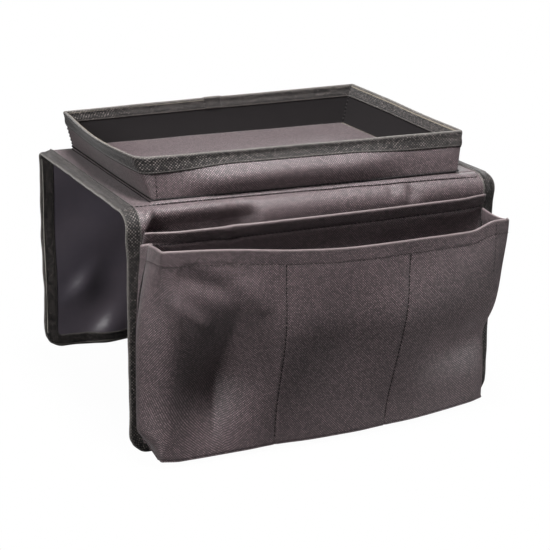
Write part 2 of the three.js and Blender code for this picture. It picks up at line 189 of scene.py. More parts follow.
# Sizes that the solids give
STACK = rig.box("saddle_top_cloth")[1].z
HALF_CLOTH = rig.box("saddle_top_cloth")[1].x
HALF_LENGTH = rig.box("saddle_binding_right")[1].x
TAPE_WIDTH = HALF_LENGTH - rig.box("saddle_binding_right")[0].x
HALF_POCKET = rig.box("inner_pocket")[1].x
FLAP_FACE = -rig.box("front_flap_cloth")[0].y
INNER_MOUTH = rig.box("inner_pocket")[1].z
POCKET_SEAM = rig.box("inner_pocket")[0].z
POCKET_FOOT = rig.box("outer_pocket_front")[0].z
TRAY_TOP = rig.box("tray_rim_binding")[1].z
TRAY_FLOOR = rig.box("tray_floor_cloth")[1].z
TRAY_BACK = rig.box("tray_outer_cloth")[1].y
TRAY_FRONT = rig.box("tray_outer_cloth")[0].y
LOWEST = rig.box("front_flap_binding")[0].z

# Layers
CLOTH = 1.0 * MM
POCKET_CLOTH = 0.9 * MM
WEB_CLOTH = 0.8 * MM
WELT_CLOTH = 0.6 * MM
PIPING_CLOTH = 0.5 * MM
LINING = 0.8 * MM
FELT = 2.0 * MM
WALL_BOARD = 2.0 * MM
TAPE = 0.5 * MM
LAYER_GAP = 0.3 * MM
CUT_INSET = 1.0 * MM  # from the outer edge of the binding to the edge of the layers in it
EDGE_PRESS = 10.0 * MM  # how far in from a bound edge the layers are pressed
EDGE_THIN = 0.35  # share of the layers' thickness left at the edge

# Stitches, each kind with its length and width
FINE_STITCH = (2.6 * MM, 0.55 * MM)
BOLD_STITCH = (2.6 * MM, 0.9 * MM)
LONG_STITCH = (3.6 * MM, 0.9 * MM)
STITCH_PITCH = 3.4 * MM
STITCHES_AT_ONCE = 24  # how many are made before they join their row
STITCH_SIDES = 6
STITCH_RINGS = 4
ON_CLOTH = 0.1 * MM  # how far a row of stitches stands off the cloth
ON_TAPE = 0.8 * MM  # and off what a tape lies on
TAPE_STITCH_INSET = 1.7 * MM  # from the tape's free edge to its row of stitches

# How finely pieces are made
NORMAL_REACH = 1.0 * MM  # how far off a surface a second point is taken, to find the way out of it
SEWING_STEP = 2.0 * MM  # between the points of a line that is sewn along
SAME_PLACE = 0.01 * MM  # vertices nearer than this are one
SEED_STEP = 7.3  # how far apart two ripples are cut from the same noise


# Small sums
def mix(low, high, share):
    return low + (high - low) * share


def smooth_step(share):
    share = min(max(share, 0.0), 1.0)
    return share * share * (3 - 2 * share)


def rise(value, start, width):
    """From 0 to 1, eased, as a value goes up from a start over a width."""
    return smooth_step((value - start) / width)


def fall(value, start, width):
    """From 1 to 0, eased, as a value goes up from a start over a width."""
    return 1 - rise(value, start, width)


def hump(distance, width):
    return math.exp(-((distance / width) ** 2))


def ripple(seed, across, along, size):
    """Smooth noise between -1 and 1 over a surface, with bumps of about the given size."""
    return noise.noise(Vector((across / size, along / size, SEED_STEP * seed)))


def spaced(low, high, step):
    count = max(1, round(abs(high - low) / step))
    return [mix(low, high, i / count) for i in range(count + 1)]


def running_length(points):
    lengths = [0.0]
    for before, after in zip(points, points[1:]):
        lengths.append(lengths[-1] + (after - before).length)
    return lengths


# Making pieces
def centred_lengths(lines, straight):
    """Running lengths of lines of points from their middle. When straight, every line gets their mean."""
    runs = [running_length(line) for line in lines]
    if straight:
        runs = [[sum(lengths) / len(runs) for lengths in zip(*runs)]] * len(runs)
    return [[length - run[len(run) // 2] for length in run] for run in runs]


def map_threads(grid, threads, columns, rows, straight):
    """Sets the thread map to lengths along the rows and columns of a grid."""
    across = centred_lengths([[grid[i, j].co for i in range(columns + 1)] for j in range(rows + 1)], straight)
    down = centred_lengths([[grid[i, j].co for j in range(rows + 1)] for i in range(columns + 1)], straight)
    for (i, j), vert in grid.items():
        for loop in vert.link_loops:
            loop[threads].uv = (across[j][i], down[i][j])


def lay_cloth(across, down, place, outward, closed=False, wear_highlight_rows=(), straight=True):
    """A grid of cloth. place gives a point for each pair of values, and outward is where its middle looks.

    The rows of wear that it is given say how much paler the cloth is painted at some of its rows: wear, and a painted
    highlight. Its threads run straight, or else keep their spacing.
    """
    bm = bmesh.new()
    threads = bm.loops.layers.uv.new("threads")
    edge = bm.verts.layers.float.new("edge")
    columns, rows = len(across) - 1, len(down) - 1
    bmesh.ops.create_grid(bm, x_segments=columns, y_segments=rows, size=0.5)
    grid = {}
    for vert in bm.verts:
        i = round((vert.co.x + 0.5) * columns)
        j = round((vert.co.y + 0.5) * rows)
        vert.co = place(across[i], down[j])
        grid[i, j] = vert
    for j, wear_highlight in dict(wear_highlight_rows).items():
        for i in range(columns + 1):
            grid[i, j][edge] = wear_highlight
    map_threads(grid, threads, columns, rows, straight)
    bm.normal_update()
    middle = grid[columns // 2, rows // 2].normal.copy()
    if middle.dot(Vector(outward)) < 0:
        bmesh.ops.reverse_faces(bm, faces=bm.faces)
    if closed:
        bmesh.ops.remove_doubles(bm, verts=bm.verts, dist=SAME_PLACE)
    return bm


def make_piece(name, bm, material, slot, thickness=0.0, levels=0):
    """A piece from its face: thickened inwards from it, and rounded by levels of subdivision."""
    mesh = bpy.data.meshes.new(name)
    bm.to_mesh(mesh)
    bm.free()
    mesh.shade_smooth()
    mesh.materials.append(material)
    piece = bpy.data.objects.new(name, mesh)
    bpy.context.scene.collection.objects.link(piece)
    if thickness:
        wall = piece.modifiers.new("thickness", "SOLIDIFY")
        wall.thickness = thickness
        wall.offset = -1
    if levels:
        soft = piece.modifiers.new("soft", "SUBSURF")
        soft.levels = levels
        soft.render_levels = levels
    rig.slot(piece, slot)
    return piece


def make_cloth(name, bm, thickness=CLOTH):
    return make_piece(name, bm, cloth, "cloth", thickness)


def make_tape(name, bm):
    return make_piece(name, bm, tape, "tape", TAPE, 1)


def sew_row(bm, points, normals, stitch):
    """A row of short stitches along a line of points, lying on the surface that the normals stand on."""
    length, width = stitch
    lengths = running_length(points)
    places = []
    segment = 0
    for k in range(int(lengths[-1] / STITCH_PITCH)):
        at = (k + 0.5) * STITCH_PITCH
        while lengths[segment + 1] < at:
            segment += 1
        share = (at - lengths[segment]) / (lengths[segment + 1] - lengths[segment])
        middle = points[segment].lerp(points[segment + 1], share)
        tangent = (points[segment + 1] - points[segment]).normalized()
        side = normals[segment].lerp(normals[segment + 1], share).cross(tangent).normalized()
        axes = Matrix((tangent * length / 2, side * width / 2, tangent.cross(side) * width / 2))
        places.append(Matrix.Translation(middle) @ axes.transposed().to_4x4())
    # A few stitches at a time, because each operator goes over the whole mesh that it adds to
    for first in range(0, len(places), STITCHES_AT_ONCE):
        few = bmesh.new()
        for place in places[first:first + STITCHES_AT_ONCE]:
            bmesh.ops.create_uvsphere(
                few, u_segments=STITCH_SIDES, v_segments=STITCH_RINGS, radius=1.0, matrix=place
            )
        mesh = bpy.data.meshes.new("stitches")
        few.to_mesh(mesh)
        few.free()
        bm.from_mesh(mesh)
        bpy.data.meshes.remove(mesh)


def sew_on(bm, point, line, lift, stitch=FINE_STITCH):
    """Sews along line, a list of arguments for point, whose last argument is a height off the surface."""
    points = [point(*at, lift) for at in line]
    raised = [point(*at, lift + NORMAL_REACH) for at in line]
    sew_row(bm, points, [(high - low).normalized() for low, high in zip(points, raised)], stitch)


# Shader nodes
def feed(tree, socket, value):
    """Gives a socket a value, or links it to the socket that feeds it."""
    if isinstance(value, bpy.types.NodeSocket):
        tree.links.new(value, socket)
    else:
        socket.default_value = value


def add_node(tree, kind, inputs=(), **settings):
    node = tree.nodes.new(kind)
    for name, value in settings.items():
        setattr(node, name, value)
    for name, value in dict(inputs).items():
        feed(tree, node.inputs[name], value)
    return node


def sums(tree, operation, *values):
    return add_node(tree, "ShaderNodeMath", enumerate(values), operation=operation).outputs[0]


def vectors(tree, operation, inputs):
    return add_node(tree, "ShaderNodeVectorMath", inputs, operation=operation).outputs[0]


def remap(tree, value, low, high):
    inputs = {"Value": value, "To Min": low, "To Max": high}
    return add_node(tree, "ShaderNodeMapRange", inputs).outputs["Result"]


def blend_colours(tree, share, low, high):
    # The colour sockets of a Mix node share their names with others, so they go by number
    return add_node(tree, "ShaderNodeMix", {0: share, 6: low, 7: high}, data_type="RGBA").outputs[2]


def colour(red, green, blue):
    """A linear colour from screen values out of 255."""
    def linear(value):
        value /= 255
        return value / 12.92 if value <= 0.04045 else ((value + 0.055) / 1.055) ** 2.4

    return (linear(red), linear(green), linear(blue), 1.0)


# Weave
DRIFT_SCALE = 160.0  # of the noise that lets threads wander
CROSSING_EASE = 0.2  # how softly one thread passes under the next
THREAD_DIP = 0.5  # how much of its height a thread loses there
SLUB_SCALE = 0.4  # of the noise that makes slubs, for each thread's width
SLUB_RANGE = (0.35, 0.65)  # the noise's values from no slub to a full one
LEAST_COVER = 0.15  # how much of a thread's colour shows at its lowest
CLOTH_PATCHES = 28.0  # scale of the patches on woven goods
PATCH_STRENGTH = 0.35
SHEEN_ROUGHNESS = 0.4
WEAVE_BUMP = 0.8


def new_group(name, inputs, outputs):
    """A node group and the sockets of its inputs."""
    group = bpy.data.node_groups.new(name, "ShaderNodeTree")
    for way, sockets in (("INPUT", inputs), ("OUTPUT", outputs)):
        for socket in sockets:
            group.interface.new_socket(socket, in_out=way, socket_type="NodeSocketFloat")
    return group, add_node(group, "NodeGroupInput").outputs


def make_weave_group():
    """Plain weave on the piece's own thread map.

    Height is how high the threads stand, Over which of them lies on top, Grain a shade for each crossing, and
    Flecks the slubs, where a thread is thick.
    """
    group, start = new_group("weave", ("Pitch", "Unevenness"), ("Height", "Over", "Grain", "Flecks"))
    pitch = start["Pitch"]
    threads = add_node(group, "ShaderNodeUVMap", uv_map="threads").outputs["UV"]
    drift = add_node(group, "ShaderNodeTexNoise", {"Vector": threads, "Scale": DRIFT_SCALE, "Detail": 2.0})
    centred = vectors(group, "SUBTRACT", {0: drift.outputs["Color"], 1: (0.5, 0.5, 0.5)})
    reach = sums(group, "MULTIPLY", pitch, start["Unevenness"])
    moved = vectors(group, "ADD", {0: threads, 1: vectors(group, "SCALE", {0: centred, "Scale": reach})})

    places = add_node(group, "ShaderNodeSeparateXYZ", {0: moved})
    waves = []
    for axis in ("X", "Y"):
        turns = sums(group, "MULTIPLY", sums(group, "DIVIDE", places.outputs[axis], pitch), math.pi)
        waves.append(sums(group, "SINE", turns))
    crossing = sums(group, "MULTIPLY", *waves)
    eased = {"Value": crossing, "From Min": -CROSSING_EASE, "From Max": CROSSING_EASE}
    over = add_node(group, "ShaderNodeMapRange", eased, interpolation_type="SMOOTHSTEP").outputs["Result"]
    round_warp, round_weft = (sums(group, "ABSOLUTE", wave) for wave in waves)
    dip_warp, dip_weft = (
        sums(group, "MULTIPLY_ADD", other, THREAD_DIP, 1 - THREAD_DIP) for other in (round_weft, round_warp)
    )
    warp = sums(group, "MULTIPLY", round_warp, dip_warp)
    weft = sums(group, "MULTIPLY", round_weft, dip_weft)
    height = add_node(group, "ShaderNodeMix", {"Factor": over, "A": weft, "B": warp}, data_type="FLOAT")

    counted = vectors(group, "SCALE", {0: moved, "Scale": sums(group, "DIVIDE", 1.0, pitch)})
    crossings = {"Vector": vectors(group, "FLOOR", {0: counted})}
    grain = add_node(group, "ShaderNodeTexWhiteNoise", crossings, noise_dimensions="2D")
    slub_scale = sums(group, "DIVIDE", SLUB_SCALE, pitch)
    slubs = add_node(group, "ShaderNodeTexNoise", {"Vector": threads, "Scale": slub_scale, "Detail": 3.0})
    low, high = SLUB_RANGE
    flecks = add_node(
        group, "ShaderNodeMapRange", {"Value": slubs.outputs["Fac"], "From Min": low, "From Max": high}
    )
    results = {
        "Height": height.outputs[0],
        "Over": over,
        "Grain": grain.outputs["Value"],
        "Flecks": flecks.outputs["Result"],
    }
    add_node(group, "NodeGroupOutput", results)
    return group


def make_patches_group():
    """Patches a hand wide and smaller, for the uneven shade of handled cloth."""
    group, start = new_group("patches", ("Scale",), ("Patches",))
    place = add_node(group, "ShaderNodeTexCoord").outputs["Object"]
    clouds = {"Vector": place, "Scale": start["Scale"], "Detail": 4.0, "Roughness": 0.6}
    patches = add_node(group, "ShaderNodeTexNoise", clouds)
    add_node(group, "NodeGroupOutput", {"Patches": patches.outputs["Fac"]})
    return group


weave_group = make_weave_group()
patches_group = make_patches_group()


# Materials
def add_group(tree, group, **values):
    return add_node(tree, "ShaderNodeGroup", values, node_tree=group).outputs


def new_material(name):
    material = bpy.data.materials.new(name)
    material.use_nodes = True
    tree = material.node_tree
    tree.nodes.clear()
    shader = add_node(tree, "ShaderNodeBsdfPrincipled")
    add_node(tree, "ShaderNodeOutputMaterial", {"Surface": shader.outputs[0]})
    return material, tree, shader


def set_surface(tree, shader, shade, rough, height, strength, distance):
    """Feeds a shader its colour, its roughness and the bumps of its surface."""
    bump = add_node(tree, "ShaderNodeBump", {"Strength": strength, "Distance": distance, "Height": height})
    surface = {"Base Color": shade, "Roughness": rough, "Normal": bump.outputs["Normal"]}
    for name, socket in surface.items():
        tree.links.new(socket, shader.inputs[name])


def make_woven(name, pitch, relief, tints, grain, flecks, unevenness, roughness, specular, sheen, wear_highlight_colour):
    """Woven goods. tints are the colours between threads, of threads across and along, and of patches.

    Where the piece's edge attribute says so, the threads are painted pale: rubbed by wear, and a painted highlight on
    folds and edges.
    """
    material, tree, shader = new_material(name)
    weave = add_group(tree, weave_group, Pitch=pitch, Unevenness=unevenness)
    patches = add_group(tree, patches_group, Scale=CLOTH_PATCHES)
    gap, across, along, patch = tints
    upper = blend_colours(tree, weave["Over"], across, along)
    cover = remap(tree, weave["Height"], LEAST_COVER, 1.0)
    threads = blend_colours(tree, cover, gap, upper)
    shaded = blend_colours(tree, remap(tree, weave["Grain"], 0.0, grain), threads, gap)
    flecked = blend_colours(tree, remap(tree, weave["Flecks"], 0.0, flecks), shaded, gap)
    patched = blend_colours(tree, remap(tree, patches["Patches"], 0.0, PATCH_STRENGTH), flecked, patch)
    edge = add_node(tree, "ShaderNodeAttribute", attribute_name="edge").outputs["Fac"]
    # Worn threads, painted pale, also as a painted highlight on folds and edges
    with_wear_highlight = blend_colours(tree, sums(tree, "MULTIPLY", edge, cover), patched, wear_highlight_colour)
    rough = remap(tree, weave["Height"], *roughness)
    set_surface(tree, shader, with_wear_highlight, rough, weave["Height"], WEAVE_BUMP, relief)
    shader.inputs["Specular IOR Level"].default_value = specular
    shader.inputs["Sheen Weight"].default_value = sheen
    shader.inputs["Sheen Roughness"].default_value = SHEEN_ROUGHNESS
    return material


def make_lining(name, tint, painted_sheen_tint, roughness, specular):
    """Coated cloth: smooth, with a faint weave under the coat, and patches where it is polished, which are also
    painted paler as a painted sheen.
    """
    material, tree, shader = new_material(name)
    weave = add_group(tree, weave_group, Pitch=0.6 * MM, Unevenness=0.4)
    patches = add_group(tree, patches_group, Scale=17.0)
    # Painted sheen: the patches take the paler second colour
    shade = blend_colours(tree, patches["Patches"], tint, painted_sheen_tint)
    rough = remap(tree, patches["Patches"], *roughness)
    set_surface(tree, shader, shade, rough, weave["Height"], strength=0.25, distance=0.1 * MM)
    shader.inputs["Specular IOR Level"].default_value = specular
    return material


def make_grained(name, low, high, scale, roughness, relief):
    """Board, felt and thread: a fine mottle on the piece's own place."""
    material, tree, shader = new_material(name)
    place = add_node(tree, "ShaderNodeTexCoord").outputs["Object"]
    mottle = {"Vector": place, "Scale": scale, "Detail": 6.0, "Roughness": 0.65}
    grain = add_node(tree, "ShaderNodeTexNoise", mottle).outputs["Fac"]
    shade = blend_colours(tree, grain, low, high)
    set_surface(tree, shader, shade, remap(tree, grain, *roughness), grain, strength=0.5, distance=relief)
    return material


cloth = make_woven(
    "cloth",
    pitch=1.0 * MM,
    relief=0.16 * MM,
    tints=(colour(5, 3, 3), colour(237, 207, 212), colour(85, 71, 75), colour(85, 72, 76)),
    grain=0.7,
    flecks=0.25,
    unevenness=0.35,
    roughness=(0.6, 0.42),
    specular=1.0,
    sheen=0.25,
    # Pale colour of wear and of the painted highlight on folds
    wear_highlight_colour=colour(189, 171, 171),
)
tape = make_woven(
    "binding_tape",
    pitch=1.25 * MM,
    relief=0.25 * MM,
    tints=(colour(1, 1, 1), colour(190, 177, 173), colour(14, 12, 12), colour(18, 15, 15)),
    grain=0.9,
    flecks=0.7,
    unevenness=0.5,
    roughness=(0.7, 0.5),
    specular=0.4,
    sheen=0.42,
    # Pale colour of wear and of the painted highlight on folds
    wear_highlight_colour=colour(220, 213, 206),
)
# The second colour of each is the painted sheen of its patches
lining = make_lining("lining", colour(82, 79, 92), colour(128, 118, 126), (0.46, 0.36), specular=1.0)
inside = make_lining("tray_inside", colour(31, 27, 29), colour(38, 34, 35), (0.9, 0.75), specular=0.5)
thread = make_grained("thread", colour(24, 21, 22), colour(46, 42, 42), 900.0, (0.8, 0.6), 0.05 * MM)
board = make_grained("board", colour(120, 112, 100), colour(160, 151, 138), 400.0, (0.95, 0.8), 0.1 * MM)
felt = make_grained("felt", colour(160, 155, 147), colour(205, 201, 193), 700.0, (1.0, 0.9), 0.2 * MM)


# Saddle
FLAP_CORNER = 16.0 * MM  # radius of a flap's lower corners over the tape
CORNER_STEP = math.pi / 20
LAYER_STEP = 2.0 * MM  # between the columns of a layer's cloth
DECK_STEP = 6.0 * MM  # and between its rows on the deck
HANG_STEP = 4.0 * MM  # and down the flap
FOLD_STEPS = 12


class SaddleSide:
    """One side of the saddle: a fold off the deck, and the flap that hangs from it."""

    def __init__(self, name, sign, swell):
        low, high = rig.box(name + "_fold_cloth")
        self.name = name
        self.sign = sign
        self.radius = high.z - low.z
        self.start = min(abs(low.y), abs(high.y))
        self.turn = self.radius * math.pi / 2
        self.bottom = self.turn + low.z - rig.box(name + "_flap_binding")[0].z
        self.swell = swell
        self.flap = name + "_flap"
        self.bend = {
            "start": (0, sign * self.start, STACK),
            "end": (0, sign * FLAP_FACE, STACK - self.radius),
        }

    def pressed(self, x, along, depth):
        """Depth below the cloth's outer face once the layers are pressed thin at a bound edge."""
        inward = min(HALF_LENGTH - abs(x), self.lowest(x, 0.0) - along)
        layer = min(max(depth, 0.0), STACK)
        thin = mix(EDGE_THIN, 1.0, rise(inward, 0.0, EDGE_PRESS))
        return STACK / 2 + (layer - STACK / 2) * thin + depth - layer

    def point(self, x, along, depth):
        """The place at a distance past the start of the fold, and a depth below the cloth's outer face."""
        reach = self.radius - self.pressed(x, along, depth) + self.swell(x, along)
        turn = min(max(along / self.radius, 0.0), math.pi / 2)
        out = self.start + min(along, 0.0) + reach * math.sin(turn)
        z = STACK - self.radius + reach * math.cos(turn) - max(along - self.turn, 0.0)
        return Vector((x, self.sign * out, z))

    def outside(self, x, along, height):
        return self.point(x, along, -height)

    def inside(self, x, along, height):
        return self.point(x, along, STACK + height)

    def lowest(self, x, inset):
        """How far the layers run down at a place along the flap, round its lower corners."""
        corner = FLAP_CORNER - inset
        past = max(abs(x) - (HALF_LENGTH - FLAP_CORNER), 0.0)
        return self.bottom - inset - corner + math.sqrt(max(corner**2 - past**2, 0.0))

    def edge(self, first, step):
        """Stations along the bound edge, left, bottom and right: x, distance along, and the way in."""
        middle = HALF_LENGTH - FLAP_CORNER
        low = self.bottom - FLAP_CORNER
        corner_turns = spaced(0.0, math.pi / 2, CORNER_STEP)
        stations = [(-HALF_LENGTH, along, 1.0, 0.0) for along in spaced(first, low, step)[:-1]]
        for turn in corner_turns:
            c, s = math.cos(turn), math.sin(turn)
            stations.append((-middle - FLAP_CORNER * c, low + FLAP_CORNER * s, c, -s))
        stations += [(x, self.bottom, 0.0, -1.0) for x in spaced(-middle, middle, step)[1:-1]]
        for turn in corner_turns:
            c, s = math.cos(turn), math.sin(turn)
            stations.append((middle + FLAP_CORNER * s, low + FLAP_CORNER * c, -s, -c))
        stations += [(HALF_LENGTH, along, -1.0, 0.0) for along in spaced(low, first, step)[1:]]
        return stations


# Front roll: the plump fold in front of the tray, with lengths over it from the deck's edge
ROLL_PLUMP = (0.6 * MM, 1.4 * MM)  # how far it is filled out at its left and right end
ROLL_CROWN = 15.0 * MM
ROLL_WIDTH = 10.0 * MM
ROLL_RIPPLE = 0.9 * MM
ROLL_RIPPLE_SIZE = 30.0 * MM
ROLL_RIPPLE_FROM = 8.0 * MM
FLAP_TUCK = 3.0 * MM  # how far the flap is drawn in below the roll, at the right
FLAP_TUCK_LOW = 50.0 * MM
FLAP_TUCK_HEIGHT = 30.0 * MM

# Dent in the roll at the left, behind the flat pocket's mouth, and the sharp pleat along its left side
DENT = 11.5 * MM
DENT_LEFT = -139.0 * MM
DENT_SLANT = 0.4  # how far its left side moves left for each length down the roll
DENT_SIDE = 4.0 * MM
DENT_RIGHT = -66.0 * MM
DENT_FADE = 20.0 * MM
DENT_TOP = 9.0 * MM
DENT_FALL = 13.0 * MM
DENT_LOW = 30.0 * MM
DENT_RISE = 20.0 * MM
PLEAT = 3.4 * MM
PLEAT_OFF = 1.5 * MM
PLEAT_WIDTH = 3.5 * MM
PLEAT_MIDDLE = 14.0 * MM
PLEAT_LENGTH = 8.0 * MM

# Short hollows where the roll is pinched: place along X and over the fold, depth, width and height
DIMPLES = (
    (-72 * MM, 14 * MM, 2.6 * MM, 9 * MM, 6 * MM),
    (64 * MM, 14 * MM, 1.6 * MM, 8 * MM, 5 * MM),
    (82 * MM, 17 * MM, 4.0 * MM, 8 * MM, 7 * MM),
)
DIMPLE_STEEP = 3  # how many times narrower a dimple's left side is


def rightward(x):
    """From 0 to 1, eased, from the saddle's left end to its right one."""
    return rise(x, -HALF_LENGTH, 2 * HALF_LENGTH)


def flap_tuck(x, along):
    """How far the flap is tucked in below the front roll, towards the right."""
    return FLAP_TUCK * rightward(x) ** 2 * hump(along - FLAP_TUCK_LOW, FLAP_TUCK_HEIGHT)


def front_swell(x, along):
    """How far the cloth of the front roll and of the flap below it stands out."""
    plump = mix(*ROLL_PLUMP, rightward(x)) * hump(along - ROLL_CROWN, ROLL_WIDTH)
    into_dent = x - DENT_LEFT + DENT_SLANT * (along - DENT_TOP)
    across_dent = rise(into_dent, 0.0, DENT_SIDE) * fall(x, DENT_RIGHT, DENT_FADE)
    pinch = DENT * across_dent * rise(along, DENT_TOP, DENT_FALL) * fall(along, DENT_LOW, DENT_RISE)
    pinch -= PLEAT * hump(into_dent + PLEAT_OFF, PLEAT_WIDTH) * hump(along - PLEAT_MIDDLE, PLEAT_LENGTH)
    for at, over, depth, wide, high in DIMPLES:
        side = wide if x > at else wide / DIMPLE_STEEP
        pinch += depth * hump(x - at, side) * hump(along - over, high)
    soft = ROLL_RIPPLE * ripple(1, x, along, ROLL_RIPPLE_SIZE) * rise(along, 0.0, ROLL_RIPPLE_FROM)
    return plump - flap_tuck(x, along) - pinch + soft


# Rear flap, which hangs loose: slanting waves, and slanting bulges towards the armrest
REAR_LOOSE = 70.0 * MM  # how far down it is before it hangs free
REAR_WAVE = 1.5 * MM
REAR_WAVE_LENGTH = 19.0 * MM  # for each radian
REAR_WAVE_DRIFT = 1.2
REAR_WAVE_DRIFT_SIZE = 90.0 * MM
REAR_RIPPLE = 1.2 * MM
REAR_RIPPLE_SIZE = 60.0 * MM
REAR_BULGES = ((-126 * MM, 128 * MM), (-103 * MM, 170 * MM))  # places along X and down the cloth
REAR_BULGE = 7.6 * MM
REAR_BULGE_LENGTH = 26.0 * MM
REAR_BULGE_STEEP = 11.0 * MM  # width of a bulge's upper left side
REAR_BULGE_GENTLE = 28.0 * MM  # and of its lower right one


def rear_swell(x, along):
    """How far the cloth of the rear flap stands out."""
    bulge = 0.0
    for at, over in REAR_BULGES:
        right, down = x - at, along - over
        slope = REAR_BULGE_STEEP if right + down < 0 else REAR_BULGE_GENTLE
        bulge += REAR_BULGE * hump(right - down, REAR_BULGE_LENGTH) * hump(right + down, slope)
    drift = REAR_WAVE_DRIFT * ripple(3, x, along, REAR_WAVE_DRIFT_SIZE)
    wave = REAR_WAVE * math.sin((x + along) / REAR_WAVE_LENGTH + drift)
    soft = REAR_RIPPLE * ripple(2, x, along, REAR_RIPPLE_SIZE)
    return rise(along, 0.0, REAR_LOOSE) * (wave + soft) - bulge


front = SaddleSide("front", -1, front_swell)
rear = SaddleSide("rear", 1, rear_swell)
DECK_LENGTH = front.start + rear.start


def lay_layer(side, first, depth, outward):
    """One layer of the saddle from a line across the deck, over the fold and down the flap."""
    across = spaced(-HALF_CLOTH, HALF_CLOTH, LAYER_STEP)
    straight = spaced(first, 0.0, DECK_STEP)[:-1] if first < 0 else []
    fold = spaced(0.0, side.turn, side.turn / FOLD_STEPS)[:-1] if first < side.turn else []
    hang = spaced(side.turn, side.bottom, HANG_STEP)
    shares = [along / side.bottom for along in straight + fold + hang]

    def place(x, share):
        return side.point(x, share * (side.lowest(x, CUT_INSET) if share > 0 else side.bottom), depth)

    return lay_cloth(across, shares, place, outward)


def make_layer(name, side, first, depth, goods, nodes):
    """A layer of the saddle. The deepest one looks inwards, the others outwards."""
    facing = side.sign if depth < STACK else -side.sign
    piece = make_piece(name, lay_layer(side, first, depth, (0, facing, 0)), *goods)
    length = side.bottom - first
    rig.sheet(piece, flat=(2 * HALF_CLOTH, length), held="folded", rests_on=["saddle_top_board"])
    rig.replaces(piece, *nodes)
    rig.blend(piece, "saddle", side.flap, **side.bend)


def make_saddle():
    covers = (cloth, "cloth", CLOTH)
    paddings = (felt, "felt", FELT)
    backings = (lining, "lining", LINING)
    under_cloth = CLOTH + LAYER_GAP
    back = -DECK_LENGTH
    front_felt = ("front_fold_felt", "front_flap_felt")
    saddle_cloth = ("saddle_top_cloth", "rear_fold_cloth", "rear_flap_cloth")
    saddle_lining = ("saddle_top_lining", "rear_fold_lining", "rear_flap_lining")
    make_layer("front_flap_cover", front, 0.0, 0.0, covers, ("front_fold_cloth", "front_flap_cloth"))
    make_layer("front_flap_padding", front, 0.0, under_cloth, paddings, front_felt)
    make_layer("front_flap_backing", front, 0.0, STACK, backings, ("front_fold_lining", "front_flap_lining"))
    make_layer("saddle_cover", rear, back, 0.0, covers, saddle_cloth)
    make_layer("rear_flap_padding", rear, rear.turn, under_cloth, paddings, ("rear_flap_felt",))
    make_layer("saddle_backing", rear, back, STACK, backings, saddle_lining)


# Binding
BINDING_STEP = 4.0 * MM
TAPE_WOBBLE = 0.9 * MM
TAPE_WOBBLE_SIZE = 16.0 * MM
TAPE_GATHER = 0.3 * MM  # height of the small folds round a corner
TAPE_GATHER_LENGTH = 0.9 * MM  # of them for each radian
# How worn a tape is at the rows of its section, with a painted highlight there too: at its fold, and a little at its
# two edges
TAPE_WEAR_HIGHLIGHT = {0: 0.3, 1: 0.3, 7: 0.35, 8: 0.6, 9: 0.35, 15: 0.3, 16: 0.3}


def tape_leg(width):
    """Across one half of a folded tape: inward from the bound edge, and depth below the bound face."""
    return [
        (width, -0.3 * MM),
        (width - 0.6 * MM, -1.0 * MM),
        (width - TAPE_STITCH_INSET, -0.8 * MM),
        (width - 3.2 * MM, -1.0 * MM),
        (width * 0.5, -0.4 * MM),
        (width * 0.3, -0.45 * MM),
        (0.8 * MM, -1.0 * MM),
        (-0.6 * MM, 0.2 * MM),
    ]


def tape_section(width, width_behind, bound):
    """Across a folded tape, from its front edge over its fold to its edge behind a bound thickness."""
    behind = [(inward, bound - depth) for inward, depth in reversed(tape_leg(width_behind))]
    return tape_leg(width) + [(-0.9 * MM, bound / 2)] + behind


def lay_binding(side, first):
    section = tape_section(TAPE_WIDTH, TAPE_WIDTH, STACK)
    stations = side.edge(first, BINDING_STEP)

    def place(station, row):
        x, along, in_x, in_along = stations[station]
        inward, depth = section[row]
        wobble = TAPE_WOBBLE * ripple(4, x, along + side.sign, TAPE_WOBBLE_SIZE)
        gather = TAPE_GATHER * math.sin(along / TAPE_GATHER_LENGTH) if in_x and in_along else 0.0
        inward += (wobble + gather) * math.sin(math.pi * row / (len(section) - 1)) ** 2
        return side.point(x + in_x * inward, along + in_along * inward, depth)

    return lay_cloth(range(len(stations)), range(len(section)), place, (0, 0, -1), wear_highlight_rows=TAPE_WEAR_HIGHLIGHT)


def sew_binding(side, first):
    bm = bmesh.new()
    inward = TAPE_WIDTH - TAPE_STITCH_INSET
    line = [(x + i * inward, along + j * inward) for x, along, i, j in side.edge(first, SEWING_STEP)]
    for face in (side.outside, side.inside):
        sew_on(bm, face, line, ON_TAPE, BOLD_STITCH)
    return bm


def make_bindings():
    for side, first in ((front, 0.0), (rear, -DECK_LENGTH)):
        name = side.name
        binding = make_tape(name + "_binding", lay_binding(side, first))
        flat = (2 * TAPE_WIDTH + STACK, 2 * (side.bottom - first) + 2 * HALF_LENGTH)
        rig.sheet(binding, flat=flat, held="folded", rests_on=["saddle_top_board"])
        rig.replaces(
            binding, name + "_fold_binding_left", name + "_fold_binding_right", name + "_flap_binding"
        )
        if side is rear:
            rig.replaces(binding, "saddle_binding_left", "saddle_binding_right")
        stitches = make_piece(name + "_binding_stitches", sew_binding(side, first), thread, "tape")
        for piece in (binding, stitches):
            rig.blend(piece, "saddle", side.flap, **side.bend)


